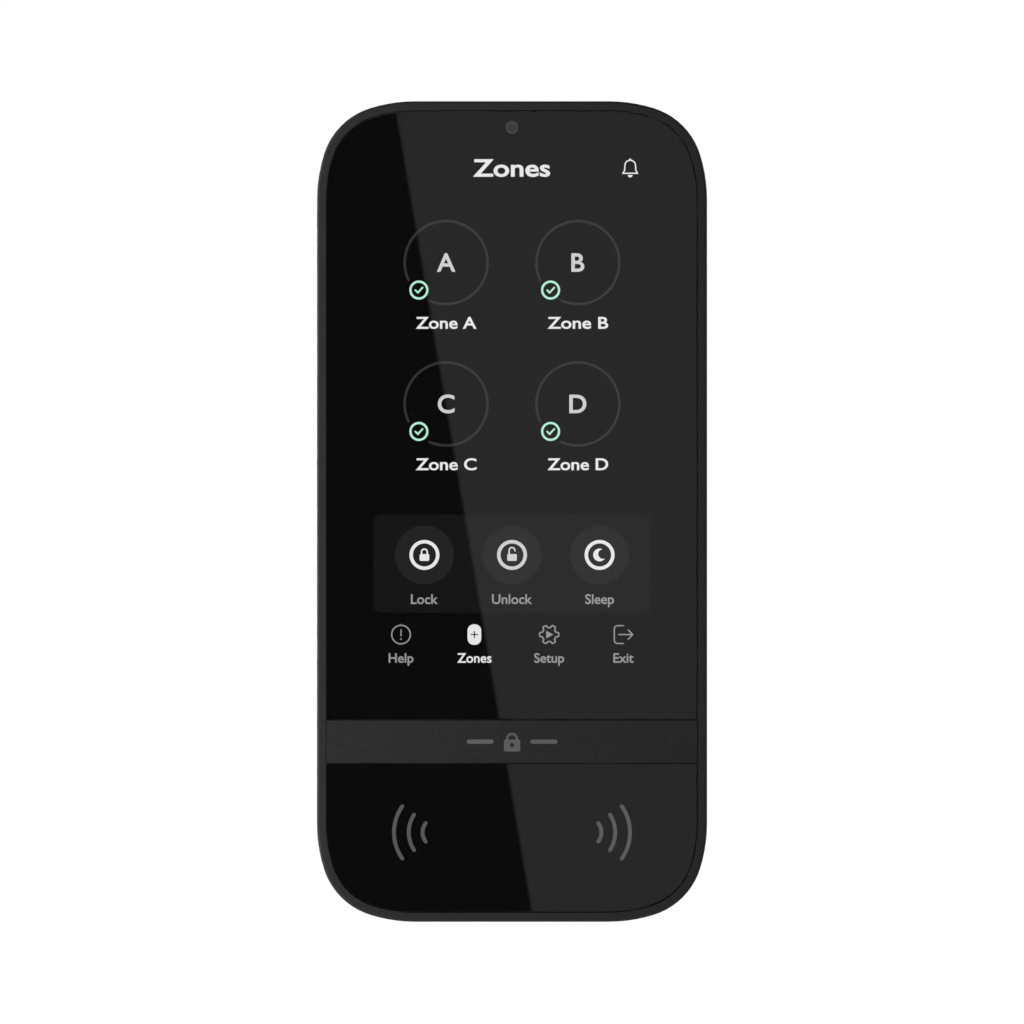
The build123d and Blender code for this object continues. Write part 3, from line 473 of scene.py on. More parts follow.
def led_board_finish():
    """White solder mask, with the lamps' yellow phosphor where they stand out of it."""
    finish = Finish("led_finish")
    graph = finish.graph
    grain = finish.group("moulded_grain", cell=0.0005)
    tint = finish.tint((0.7, 0.7, 0.66), 0.006, 0.08)
    front = graph("ShaderNodeSeparateXYZ", {0: finish.place}).outputs["Y"]
    lamp = graph.math("LESS_THAN", front, LAMP_BACK)
    finish.set("Base Color", graph.blend(lamp, tint, colour(0.75, 0.6, 0.1)))
    finish.roughness(grain["Shade"], 0.35, 0.5)
    finish.bump(grain["Height"], 0.00001)
    return finish.made


def cell_sleeve():
    """Shrunk sleeve of a cell: a broad band of colour, a pale end, and a tinned nub."""
    finish = Finish("cell_sleeve_finish")
    graph = finish.graph
    across = graph("ShaderNodeSeparateXYZ", {0: finish.place}).outputs["X"]
    along = graph.math("FRACT", graph.math("ADD", graph.math("DIVIDE", across, CELL_LENGTH), 2.0))
    pale = graph.spread(along, 0.70, 0.702)
    line = graph.math("MULTIPLY", graph.spread(along, 0.66, 0.662), graph.spread(along, 0.682, 0.68))
    nub = graph.spread(along, 0.971, 0.972)
    tint = finish.tint((0.02, 0.11, 0.22), 0.01, 0.1)
    pale_print = colour(0.62, 0.62, 0.6)
    banded = graph.blend(line, graph.blend(pale, tint, pale_print), pale_print)
    finish.set("Base Color", graph.blend(nub, banded, colour(0.75, 0.74, 0.7)))
    finish.set("Metallic", nub)
    marks = finish.group("handling", size=0.008, amount=1.0)
    finish.roughness(marks["Smear"], 0.28, 0.42)
    wrinkles = finish.group("brushed", lines=(900.0, 60.0, 60.0))["Line"]
    finish.bump(wrinkles, 0.00002)
    return finish.made


def screen_light(name, level, tint=(1.0, 1.0, 1.0), through=0.92):
    """Light of a lit sign, or the painted glow of printed marks that are no lamp: its level as seen in front
    of the glass, broken up by the screen's grid.
    """
    finish = Finish(name, emission_strength=1.0 / through, specular_ior_level=0.0)
    lit = colour(*(linear(level) * share for share in tint))
    cells = finish.group("screen_grid", color=lit, dimming=0.25)["Color"]
    finish.set("Emission Color", finish.group("tint_drift", color=cells, size=0.02, drift=0.01)["Color"])
    finish.set("Base Color", finish.tint((0.002, 0.002, 0.002), 0.01, 0.1))
    finish.roughness(finish.group("handling")["Smear"], 0.6, 0.7)
    return finish.made


MOULDINGS = {
    "housing": dict(base=(0.035, 0.0353, 0.0354), rough=0.5, cell=0.0003, depth=0.000012, drift=0.06,
                    dust=0.02, specular_ior_level=0.28),
    "band": dict(base=(0.0355, 0.0358, 0.0358), rough=0.55, cell=0.0005, depth=0.00004, drift=0.06,
                 dust=0.02, specular_ior_level=0.22),
    "rear_plastic": dict(base=(0.028, 0.028, 0.029), rough=0.55, cell=0.0006, depth=0.00005),
    "bracket": dict(base=(0.034, 0.034, 0.035), rough=0.6, cell=0.0008, depth=0.00006),
    "tray_plastic": dict(base=(0.02, 0.02, 0.021), rough=0.5, cell=0.0006, depth=0.00003),
    "white_plastic": dict(base=(0.72, 0.72, 0.7), rough=0.45, cell=0.0006, drift=0.04),
    "connector": dict(base=(0.6, 0.56, 0.47), rough=0.45, cell=0.0005, drift=0.06),
    "terminal": dict(base=(0.02, 0.13, 0.06), rough=0.42, cell=0.0005, drift=0.06),
    "switch": dict(base=(0.022, 0.022, 0.024), rough=0.4, depth=0.00001, drift=0.06),
    "button": dict(base=(0.16, 0.16, 0.165), rough=0.5, drift=0.06),
    "chip": dict(base=(0.018, 0.018, 0.02), rough=0.55, cell=0.0002, depth=0.00001, drift=0.1),
    "seal": dict(base=(0.012, 0.012, 0.013), rough=0.75, depth=0.00003, drift=0.1),
}
METALS = {
    "steel": dict(base=(0.56, 0.57, 0.58), rough=0.32),
    "screw_steel": dict(base=(0.5, 0.5, 0.5), rough=0.26, lines=(900.0, 60.0, 900.0)),
    "spring_steel": dict(base=(0.6, 0.58, 0.55), rough=0.24, lines=(900.0, 900.0, 90.0)),
    "copper": dict(base=(0.85, 0.42, 0.25), rough=0.3),
    "brass": dict(base=(0.78, 0.56, 0.25), rough=0.28, lines=(90.0, 900.0, 900.0)),
}
FINISHED = {
    "cover_glass": cover_glass(),
    "clear_plastic": clear_plastic(),
    "black_print": black_print(),
    "sign_lens": sign_lens("sign_lens_finish", 0.19),
    "sensor_window": sign_lens("sensor_lens_finish", 0.085),
    "display": display_glass(),
    "foam": foam(),
    "circuit_board": circuit_board(),
    "flex": flex_film(),
    "ferrite": ferrite(),
    "led": led_board_finish(),
    "cell_sleeve": cell_sleeve(),
}
FINISHED.update({slot: moulding(f"{slot}_finish", **looks) for slot, looks in MOULDINGS.items()})
FINISHED.update({slot: metal(f"{slot}_finish", **looks) for slot, looks in METALS.items()})

for part in frame["record"]["subparts"]:
    mesh = frame["nodes"][part["node"]].data
    mesh.materials.clear()
    mesh.materials.append(FINISHED.get(part["node"], FINISHED[part["material_slot"]]))


# ---- Outlines of signs ----------------------------------------------------------------------


def arc(x, z, radius, start, end, steps=None):
    """Points along an arc, in degrees from +X towards +Z."""
    steps = steps or max(3, round(abs(end - start) / 360 * (24 + 7 * radius)))
    angles = [math.radians(start + (end - start) * step / steps) for step in range(steps + 1)]
    return [(x + radius * math.cos(angle), z + radius * math.sin(angle)) for angle in angles]


def circle(x, z, radius):
    """A full circle's points."""
    return arc(x, z, radius, 0, 360)[:-1]


def rounded(x, z, width, height, radius):
    """A rectangle with round corners."""
    points = []
    for sign_x, sign_z, start in ((1, 1, 0), (-1, 1, 90), (-1, -1, 180), (1, -1, 270)):
        corner = (x + sign_x * (width / 2 - radius), z + sign_z * (height / 2 - radius))
        points += arc(*corner, radius, start, start + 90)
    return points


def offset(points, distance, closed):
    """A line moved to its left by a distance, with its corners mitred."""
    shifted = []
    count = len(points)
    for index, point in enumerate(points):
        before = points[index - 1] if closed or index else point
        after = points[(index + 1) % count] if closed or index < count - 1 else point
        sides = []
        for start, end in ((before, point), (point, after)):
            run = Vector((end[0] - start[0], end[1] - start[1]))
            if run.length > 1e-9:
                run.normalize()
                sides.append(Vector((-run.y, run.x)))
        normal = sum(sides, Vector((0.0, 0.0))).normalized()
        reach = distance / max(normal.dot(sides[0]), 0.35)
        shifted.append((point[0] + normal.x * reach, point[1] + normal.y * reach))
    return shifted


def line_sign(points, width):
    """An open line of that width with round ends, as one outline."""
    half = width / 2
    left, right = offset(points, half, False), offset(points, -half, False)
    ends = []
    for tip, near in ((points[-1], points[-2]), (points[0], points[1])):
        heading = math.degrees(math.atan2(tip[1] - near[1], tip[0] - near[0]))
        ends.append(arc(*tip, half, heading + 90, heading - 90, 8)[1:-1])
    return [left + ends[0] + right[::-1] + ends[1]]


def loop_sign(points, width):
    """A closed line of that width: its outer outline and its hole."""
    return [offset(points, width / 2, True), offset(points, -width / 2, True)]


def moved(shape, x, z, size=1.0):
    """A shape, drawn about 0, placed and scaled."""
    return [[(x + size * px, z + size * pz) for px, pz in outline] for outline in shape]


def solid_signs(name, shapes, back, front):
    """A closed mesh of flat shapes between two depths. Each shape is an outline and its holes."""
    form = bmesh.new()
    for shape in shapes:
        flat = [[Vector((x * MM, z * MM, 0.0)) for x, z in outline] for outline in shape]
        corners = [point for outline in flat for point in outline]
        sheets = [[form.verts.new((p.x, depth, p.y)) for p in corners] for depth in (back, front)]
        for triangle in tessellate_polygon(flat):
            for sheet in sheets:
                form.faces.new([sheet[index] for index in triangle])
        first = 0
        for outline in flat:
            count = len(outline)
            for index in range(count):
                a, b = first + index, first + (index + 1) % count
                form.faces.new((sheets[0][a], sheets[0][b], sheets[1][b], sheets[1][a]))
            first += count
    bmesh.ops.recalc_face_normals(form, faces=form.faces)
    mesh = bpy.data.meshes.new(name)
    form.to_mesh(mesh)
    form.free()
    return mesh


def flat_mesh(thing):
    """The plain mesh of an evaluated object, which is then removed."""
    view = bpy.context.evaluated_depsgraph_get()
    mesh = bpy.data.meshes.new_from_object(thing.evaluated_get(view))
    bpy.data.objects.remove(thing)
    return mesh


def text_mesh(name, words, weight):
    """Words as a closed mesh, one unit thick, in its own XY plane."""
    letters = bpy.data.curves.new(name, "FONT")
    letters.body = words
    letters.align_x = "CENTER"
    letters.extrude = 0.5
    letters.offset = weight
    letters.resolution_u = 5
    thing = bpy.data.objects.new(name, letters)
    bpy.context.scene.collection.objects.link(thing)
    return flat_mesh(thing)


CAPITAL = max(corner.co.y for corner in text_mesh("capital", "H", 0.0).vertices)


def lettering(name, words, x, z, height, back, front, weight, width=None):
    """Words centred on x, with capitals of that height centred on z, between two depths."""
    mesh = text_mesh(name, words, weight)
    scale = height * MM / CAPITAL
    across = [corner.co.x for corner in mesh.vertices]
    wide = width * MM / (max(across) - min(across)) if width else scale
    middle = (max(across) + min(across)) / 2
    place = Matrix.Translation((x * MM - middle * wide, (back + front) / 2, (z - height / 2) * MM))
    upright = Euler((math.pi / 2, 0, 0)).to_matrix().to_4x4()
    mesh.transform(place @ upright @ Matrix.Diagonal((wide, scale, back - front, 1)))
    form = bmesh.new()
    form.from_mesh(mesh)
    bmesh.ops.remove_doubles(form, verts=form.verts, dist=1e-7)
    bmesh.ops.recalc_face_normals(form, faces=form.faces)
    form.to_mesh(mesh)
    form.free()
    return mesh


def add_piece(name, mesh, body, finish):
    """A finished piece: its mesh in place, riding its body."""
    mesh.materials.clear()
    mesh.materials.append(finish)
    piece = bpy.data.objects.new(name, mesh)
    bpy.context.scene.collection.objects.link(piece)
    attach(piece, body)
    return piece


# ---- Screen ---------------------------------------------------------------------------------

# Depths of the signs' layers, outwards from the screen's face.
GROUND = (SCREEN_FACE - 0.00001, SCREEN_FACE - 0.00002)
RAISED = (SCREEN_FACE - 0.00003, SCREEN_FACE - 0.00004)
TOP = (SCREEN_FACE - 0.00005, SCREEN_FACE - 0.00006)

TITLE, TITLE_HEIGHT, TITLE_WIDTH, TITLE_WEIGHT = (-0.1, 71.2), 3.45, 16.0, 0.02
BELL = (24.5, 71.25)
TILE_X = 13.65
TILE_ROWS = (51.6, 22.3)
TILE_RADIUS, TILE_STROKE, TILE_ARC = 8.6, 0.5, (246, 565)
LETTER_HEIGHT, TILE_WEIGHT = 3.65, 0.018
CAPTION_DROP, CAPTION_HEIGHT, CAPTION_WIDTH = 12.5, 2.35, 12.6
BADGE = (-5.65, -5.7)
BADGE_RADIUS, BADGE_STROKE = 1.75, 0.46
CARD_Z, CARD_SIZE, CARD_CORNER = -10.8, (57.5, 20.4), 1.7
DISC_RADIUS = 6.1
ACTION_X = 18.15
ACTION_Z, ACTION_WORD_Z, ACTION_WORD_HEIGHT = -9.0, -18.15, 1.95
NAVIGATION_X = (-23.0, -7.8, 7.7, 23.1)
NAVIGATION_Z, NAVIGATION_WORD_Z, NAVIGATION_WORD_HEIGHT = -25.5, -30.35, 1.9
SMALL_WEIGHT = 0.016
THIN = 0.26
# Each wave's distance from the middle, height and width.
WAVES = ((23.6, 11.6, 2.5), (20.85, 8.1, 1.87), (18.2, 4.6, 1.45))
WAVE_Z, WAVE_STROKE = -66.5, 0.78
PRINT = (FILM_FACE - 0.00001, FILM_FACE - 0.00003)

LIGHTS = {
    "white": screen_light("white_light", 237),
    "soft": screen_light("soft_light", 211),
    "grey": screen_light("grey_light", 153),
    "green": screen_light("green_light", 240, (0.55, 1.0, 0.785)),
    "card": screen_light("card_light", 17),
    "disc": screen_light("disc_light", 33),
    "ring": screen_light("ring_light", 50),
    "ink": screen_light("ink_light", 12),
    # The reader's printed waves are no lamp: this glow is painted light, standing in for the light their grey
    # print would send back.
    "reader": screen_light("reader_painted_glow", 88),
}


def show(name, shapes, light, layer=TOP):
    """A lit sign on the screen."""
    return add_piece(name, solid_signs(name, shapes, *layer), "keypad", LIGHTS[light])


def show_words(name, words, x, z, height, light, **options):
    """Lit words on the screen."""
    mesh = lettering(name, words, x, z, height, *TOP, **options)
    return add_piece(name, mesh, "keypad", LIGHTS[light])


def bell():
    """A bell in outline, its knob and its clapper."""
    side = arc(0, 0.45, 1.1, 180, 0) + [(1.15, -0.5), (1.5, -1.15), (-1.5, -1.15), (-1.15, -0.5)]
    body = loop_sign(side[::-1], THIN)
    clapper = [arc(0, -1.5, 0.5, 180, 360)]
    knob = [circle(0, 1.72, 0.2)]
    return [body, clapper, knob]


def padlock(open_bow=False):
    """A padlock: a full body, and a bow that stands open or closed."""
    lift = 0.35 if open_bow else 0.0
    foot = 0.55 if open_bow else 0.2
    bow = [(-0.62, 0.2)] + arc(0, 0.65 + lift, 0.62, 180, 0) + [(0.62, foot + lift)]
    return [[rounded(0, -0.55, 2.1, 1.5, 0.25)], line_sign(bow, 0.34)]


def crescent():
    """A moon: a disc with another one taken out of its side."""
    radius, bite, away, tilt = 1.4, 1.05, 0.78, 15.0
    reach = (radius**2 - bite**2 + away**2) / (2 * away)
    wide = math.degrees(math.acos(reach / radius))
    deep = math.degrees(math.acos((reach - away) / bite))
    x, z = away * math.cos(math.radians(tilt)), away * math.sin(math.radians(tilt))
    outer = arc(0, 0, radius, tilt + wide, tilt + 360 - wide)
    inner = arc(x, z, bite, tilt + 360 - deep, tilt + deep)
    return [[outer + inner[1:-1]]]


def ringed(sign):
    """A sign in a round frame."""
    return [loop_sign(circle(0, 0, 2.75), 0.72)] + sign


def tick():
    """A tick mark."""
    return [line_sign([(-0.72, -0.02), (-0.2, -0.55), (0.75, 0.5)], 0.36)]


def gear():
    """A wheel with six round teeth in outline, round a triangle."""
    teeth, steps = 6, 72
    points = []
    for step in range(steps):
        angle = 2 * math.pi * step / steps
        wave = math.cos(teeth * angle)
        radius = 1.72 + 0.26 * max(-1.0, min(1.0, 2.2 * wave))
        points.append((radius * math.cos(angle), radius * math.sin(angle)))
    triangle = [(-0.6, 0.8), (-0.6, -0.8), (0.85, 0.0)]
    return [loop_sign(points, 0.28), [triangle]]


def exclamation():
    """An exclamation mark in a ring."""
    bar = line_sign([(0, 1.0), (0, -0.25)], 0.24)
    return [loop_sign(circle(0, 0, 1.93), THIN), bar, [circle(0, -0.92, 0.17)]]


def way_out():
    """A bracket open to the right, with an arrow out of it."""
    corners = arc(-1.2, 1.15, 0.7, 90, 180) + arc(-1.2, -1.15, 0.7, 180, 270)
    bracket = [(0.0, 1.85)] + corners + [(0.0, -1.85)]
    shaft = line_sign([(-0.95, 0), (1.75, 0)], THIN)
    head = line_sign([(1.0, 0.95), (1.9, 0.0), (1.0, -0.95)], THIN)
    return [line_sign(bracket, THIN), shaft, head]


def placed(shapes, x, z, size=1.0):
    """A sign's shapes placed and scaled."""
    return [moved(shape, x, z, size) for shape in shapes]


def build_header():
    """The title, and the bell to the right of it."""
    options = {"weight": TITLE_WEIGHT, "width": TITLE_WIDTH}
    show_words("screen_title", "Zones", *TITLE, TITLE_HEIGHT, "white", **options)
    show("screen_bell", placed(bell(), *BELL), "white")


def build_tiles():
    """Four round tiles: a ring open at its badge, a letter and a caption."""
    places = [(x, z) for z in TILE_ROWS for x in (-TILE_X, TILE_X)]
    for letter, (x, z) in zip("ABCD", places):
        key = f"tile_{letter.lower()}"
        ring = line_sign(arc(x, z, TILE_RADIUS, *TILE_ARC, 90), TILE_STROKE)
        show(f"{key}_ring", [ring], "ring", GROUND)
        show_words(f"{key}_letter", letter, x, z, LETTER_HEIGHT, "soft", weight=TILE_WEIGHT)
        badge = [loop_sign(circle(0, 0, BADGE_RADIUS), BADGE_STROKE)] + tick()
        show(f"{key}_badge", placed(badge, x + BADGE[0], z + BADGE[1]), "green")
        caption = (f"Zone {letter}", x, z - CAPTION_DROP, CAPTION_HEIGHT, "white")
        show_words(f"{key}_caption", *caption, weight=TILE_WEIGHT, width=CAPTION_WIDTH)


def build_actions():
    """The card with the three round buttons."""
    show("action_card", [[rounded(0, CARD_Z, *CARD_SIZE, CARD_CORNER)]], "card", GROUND)
    signs = (
        ("Lock", padlock(), "white"),
        ("Unlock", padlock(open_bow=True), "soft"),
        ("Sleep", crescent(), "white"),
    )
    for index, (word, sign, light) in enumerate(signs):
        x = (index - 1) * ACTION_X
        key = word.lower()
        show(f"{key}_disc", [[circle(x, ACTION_Z, DISC_RADIUS)]], "disc", RAISED)
        show(f"{key}_sign", placed(ringed(placed(sign, 0, 0, 0.95)), x, ACTION_Z), light)
        show_words(f"{key}_word", word, x, ACTION_WORD_Z, ACTION_WORD_HEIGHT, "grey", weight=SMALL_WEIGHT)


def build_navigation():
    """The row of four signs with their words under it."""
    signs = (exclamation(), [[rounded(0, 0, 2.85, 4.25, 1.3)]], gear(), way_out())
    words = ("Help", "Zones", "Setup", "Exit")
    for index, (x, sign, word) in enumerate(zip(NAVIGATION_X, signs, words)):
        chosen = index == 1
        light = "white" if chosen else "grey"
        layer = RAISED if chosen else TOP
        key = f"navigation_{index + 1}"
        show(f"{key}_sign", placed(sign, x, NAVIGATION_Z), light, layer)
        line = (word, x, NAVIGATION_WORD_Z, NAVIGATION_WORD_HEIGHT, light)
        show_words(f"{key}_word", *line, weight=SMALL_WEIGHT)
    long, wide, corner, lift = 1.5, 0.22, 0.08, 0.000012
    place = (NAVIGATION_X[1], NAVIGATION_Z)
    show("navigation_bar_across", placed([[rounded(0, 0, long, wide, corner)]], *place), "ink")
    over = tuple(depth - lift for depth in TOP)
    show("navigation_bar_upright", placed([[rounded(0, 0, wide, long, corner)]], *place), "ink", over)


def build_reader_marks():
    """Three printed waves on each side of the reader, which grow outwards. They glow with painted light,
    though print is no lamp.
    """
    for side, label in ((-1, "left"), (1, "right")):
        shapes = []
        for x, height, width in WAVES:
            chord, rise = height - WAVE_STROKE, width - WAVE_STROKE
            radius = (chord * chord / 4 + rise * rise) / (2 * rise)
            half = math.degrees(math.asin(chord / 2 / radius))
            centre = side * (x + rise / 2 - radius)
            start = 0 if side > 0 else 180
            wave = arc(centre, WAVE_Z, radius, start - half, start + half, 24)
            shapes.append(line_sign(wave, WAVE_STROKE))
        # Painted light: the printed waves glow by emission instead of being lit by the lamps.
        mesh = solid_signs(f"painted_glow_reader_waves_{label}", shapes, *PRINT)
        add_piece(f"painted_glow_reader_waves_{label}", mesh, "keypad", LIGHTS["reader"])


def build_sensor_ring():
    """A thin pale ring round the light sensor's window."""
    low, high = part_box("sensor_window")
    middle, radius = (low + high) / 2 / MM, (high.x - low.x) / 2 / MM
    inset, stroke = 0.12, 0.2
    shapes = [loop_sign(circle(middle.x, middle.z, radius - inset), stroke)]
    mesh = solid_signs("sensor_ring", shapes, *PRINT)
    add_piece("sensor_ring", mesh, "keypad", FINISHED["sign_lens"])


# ---- Pieces grown by rule -------------------------------------------------------------------

FREE_ROWS = ((53.0, 69.0), (15.0, 32.5), (-12.5, -1.5))
FREE_WIDTH = 60.0


def geometry_group(name, inputs):
    """An empty geometry tree with named sockets. Returns it, its graph, its inputs and its end."""
    tree = bpy.data.node_groups.new(name, "GeometryNodeTree")
    tree.interface.new_socket("Geometry", in_out="INPUT", socket_type="NodeSocketGeometry")
    for label, (kind, value) in inputs.items():
        socket = tree.interface.new_socket(label, in_out="INPUT", socket_type="NodeSocket" + kind)
        if value is not None:
            socket.default_value = value
    tree.interface.new_socket("Geometry", in_out="OUTPUT", socket_type="NodeSocketGeometry")
    graph = Graph(tree)
    return tree, graph, graph("NodeGroupInput").outputs, graph("NodeGroupOutput")


def finish_tree(graph, given, end, geometry):
    """Ends a geometry tree: everything made real, with its material."""
    real = graph("GeometryNodeRealizeInstances", {"Geometry": geometry}).outputs[0]
    dressed = graph("GeometryNodeSetMaterial", {"Geometry": real, "Material": given["Material"]})
    graph.feed(end.inputs["Geometry"], dressed.outputs[0])


def small_parts_tree():
    """Little blocks strewn over the faces of a sheet, turned by quarter turns."""
    tree, graph, given, end = geometry_group(
        "small_parts",
        {"Apart": ("Float", 0.0026), "Count": ("Int", 1), "Size": ("Vector", (0.0016, 0.0005, 0.0008)),
         "First": ("Vector", (0.0, 0.0, 0.0)), "Step": ("Vector", (0.001, 0.0, 0.0)), "Seed": ("Int", 5),
         "Material": ("Material", None)},
    )
    block = graph("GeometryNodeMeshCube", {"Size": given["Size"]}).outputs["Mesh"]
    row = {"Count": given["Count"], "Start Location": given["First"], "Offset": given["Step"]}
    line = graph("GeometryNodeMeshLine", row).outputs["Mesh"]
    part = graph("GeometryNodeInstanceOnPoints", {"Points": line, "Instance": block}).outputs[0]
    strewn = graph("GeometryNodeDistributePointsOnFaces", distribute_method="POISSON")
    spots = {"Mesh": given["Geometry"], "Distance Min": given["Apart"], "Density Max": 300000.0,
             "Seed": given["Seed"]}
    for key, value in spots.items():
        graph.feed(strewn.inputs[key], value)
    chance = graph("FunctionNodeRandomValue", data_type="INT")
    graph.feed(chance.inputs[4], 0)
    graph.feed(chance.inputs[5], 1)
    graph.feed(chance.inputs["Seed"], given["Seed"])
    quarter = graph.math("MULTIPLY", chance.outputs[2], math.pi / 2)
    turn = graph("ShaderNodeCombineXYZ", {"Y": quarter}).outputs[0]
    put = {"Points": strewn.outputs["Points"], "Instance": part, "Rotation": turn}
    finish_tree(graph, given, end, graph("GeometryNodeInstanceOnPoints", put).outputs[0])
    return tree


def winding_tree():
    """A round wire wound into a coil of even pitch: a spring, or the thread of a screw."""
    tree, graph, given, end = geometry_group(
        "winding",
        {"Radius": ("Float", 0.0014), "Turns": ("Float", 8.0), "Length": ("Float", 0.004),
         "Wire": ("Float", 0.0001), "Sides": ("Int", 6), "Start": ("Vector", (0.0, 0.0, 0.0)),
         "Lean": ("Vector", (0.0, 0.0, 0.0)), "Material": ("Material", None)},
    )
    path = {"Resolution": 40, "Rotations": given["Turns"], "Start Radius": given["Radius"],
            "End Radius": given["Radius"], "Height": given["Length"]}
    winding = graph("GeometryNodeCurveSpiral", path).outputs[0]
    wire = {"Resolution": given["Sides"], "Radius": given["Wire"]}
    section = graph("GeometryNodeCurvePrimitiveCircle", wire)
    swept = {"Curve": winding, "Profile Curve": section.outputs[0], "Fill Caps": True}
    coil = graph("GeometryNodeCurveToMesh", swept).outputs[0]
    put = {"Geometry": coil, "Translation": given["Start"], "Rotation": given["Lean"]}
    finish_tree(graph, given, end, graph("GeometryNodeTransform", put).outputs[0])
    return tree


def grow(name, base, tree, body, slot, **values):
    """A piece that a geometry tree makes from a base mesh."""
    thing = bpy.data.objects.new(name, base)
    bpy.context.scene.collection.objects.link(thing)
    modifier = thing.modifiers.new(name, "NODES")
    modifier.node_group = tree
    values["Material"] = FINISHED[slot]
    for socket in tree.interface.items_tree:
        if socket.in_out == "INPUT" and socket.name in values:
            modifier[socket.identifier] = values[socket.name]
    return add_piece(name, flat_mesh(thing), body, FINISHED[slot])


def board_areas():
    """The free areas on the front of the main board, each in two halves."""
    mesh = bpy.data.meshes.new("board_areas")
    corners, faces = [], []
    for low, high in FREE_ROWS:
        for x0, x1 in ((-FREE_WIDTH / 2, 0.0), (0.0, FREE_WIDTH / 2)):
            first = len(corners)
            area = ((x0, low), (x1, low), (x1, high), (x0, high))
            corners += [(x * MM, BOARD_FACE, z * MM) for x, z in area]
            faces.append(tuple(range(first, first + 4)))
    mesh.from_pydata(corners, [], faces)
    return mesh


def build_small_parts():
    """Resistors and capacitors on the main board: dark bodies with tinned ends."""
    tree = small_parts_tree()
    lift, apart = 0.00028, 0.0014
    bodies = {"Count": 1, "Size": (0.0011, 0.0005, 0.0008), "First": (0.0, -lift, 0.0)}
    ends = {"Count": 2, "Size": (0.0003, 0.00054, 0.00084), "First": (-apart / 2, -lift, 0.0)}
    ends["Step"] = (apart, 0.0, 0.0)
    grow("small_part_bodies", board_areas(), tree, "keypad", "chip", **bodies)
    grow("small_part_ends", board_areas(), tree, "keypad", "steel", **ends)


def build_windings():
    """The thread of the lock screw, and the plunger's spring."""
    tree = winding_tree()
    low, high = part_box("lock_screw")
    middle = (low + high) / 2
    length, pitch, point = 0.0044, 0.0005, 0.0003
    thread = {"Radius": 0.00138, "Turns": length / pitch, "Length": length, "Wire": 0.0001, "Sides": 6}
    thread["Start"] = (middle.x, middle.y, high.z - length - point)
    grow("lock_screw_thread", bpy.data.meshes.new("thread_base"), tree, "lock_screw", "screw_steel", **thread)

    low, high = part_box("tamper_spring")
    middle, half = (low + high) / 2, 0.00016
    spring = {"Radius": (high.x - low.x) / 2 - half, "Turns": 6.0, "Length": high.y - low.y - 2 * half}
    spring.update({"Wire": half, "Sides": 12, "Lean": (math.pi / 2, 0.0, 0.0)})
    spring["Start"] = (middle.x, high.y - half, middle.z)
    base = bpy.data.meshes.new("spring_base")
    coil = grow("tamper_coil", base, tree, "keypad", "spring_steel", **spring)
    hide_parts("tamper_spring")
    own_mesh(coil)


build_sensor_ring()
build_small_parts()
build_windings()
build_header()
build_tiles()
build_actions()
build_navigation()
build_reader_marks()


# ---- Studio ---------------------------------------------------------------------------------

VIEW_WIDTH = 0.2120
LENS, SENSOR = 135.0, 36.0
FRONT = CAD_BOX[0].y
CAMERA = Vector((0.0, FRONT - VIEW_WIDTH * LENS / SENSOR, -0.0001))
BOARD_Y = CAMERA.y - 0.02
EDGE_TOP, EDGE_BOTTOM = (-23.95, 82.9), (4.2, -83.0)
DARK_BOARD, BRIGHT_BOARD = 0.035, 0.268
BOARD_HALF, BOARD_BLUR = 0.5, 0.0008
FLOOR_DROP = 0.088
FLOOR_HALF, FLOOR_MIDDLE = 0.6, -0.2
FADE_START, FADE_END = 0.25, 0.57
# Each light's place, aim, width, height and power.
STUDIO_LIGHTS = {
    "key_light": ((-0.17, -0.14, 0.0), (0, -0.02, 0), 0.08, 0.5, 0.45),
    "side_light": ((0.6, 0.25, 0.25), (0, 0, 0), 0.5, 0.5, 1.4),
    "rear_light": ((-0.45, 0.75, 0.08), (0, 0, 0), 0.4, 0.4, 8.0),
}


def build_camera():
    """A long lens straight in front of the glass."""
    camera = bpy.data.objects.new("camera", bpy.data.cameras.new("camera"))
    camera.data.lens = LENS
    camera.data.sensor_width = SENSOR
    camera.data.clip_start = 0.01
    camera.location = CAMERA
    camera.rotation_euler = (math.pi / 2, 0, 0)
    bpy.context.scene.collection.objects.link(camera)
    bpy.context.scene.camera = camera


def build_world():
    """White for the camera. For everything that it lights, grey from the left and from behind."""
    world = bpy.data.worlds.new("studio")
    world.use_nodes = True
    world.node_tree.nodes.clear()
    graph = Graph(world.node_tree)
    seen = graph("ShaderNodeLightPath").outputs["Is Camera Ray"]
    way = graph("ShaderNodeSeparateXYZ", {0: graph("ShaderNodeTexCoord").outputs["Generated"]}).outputs
    left = graph.spread(way["X"], -0.9, -0.1, 0.28, 0.04)
    behind = graph.spread(way["Y"], 0.3, 0.9, 0.0, 0.03)
    level = graph.spread(seen, 0.0, 1.0, graph.math("ADD", left, behind), 1.0)
    light = graph("ShaderNodeBackground", {"Strength": level})
    graph.feed(light.inputs["Color"], (1.0, 1.0, 1.0, 1.0))
    graph.feed(graph("ShaderNodeOutputWorld").inputs["Surface"], light.outputs[0])
    bpy.context.scene.world = world
    bpy.context.scene.view_settings.view_transform = "Standard"


def on_board(point):
    """Where the board behind the camera shows at a point of the glass."""
    mirrored = Vector((CAMERA.x, 2 * GLASS_FACE - CAMERA.y, CAMERA.z))
    aim = Vector((point[0] * MM, GLASS_FACE, point[1] * MM)) - mirrored
    return mirrored + aim * ((BOARD_Y - mirrored.y) / aim.y)


def plane(name, corners, finish):
    """A flat piece of the studio."""
    mesh = bpy.data.meshes.new(name)
    mesh.from_pydata(corners, [], [tuple(range(len(corners)))])
    mesh.materials.append(finish)
    thing = bpy.data.objects.new(name, mesh)
    bpy.context.scene.collection.objects.link(thing)
    return thing


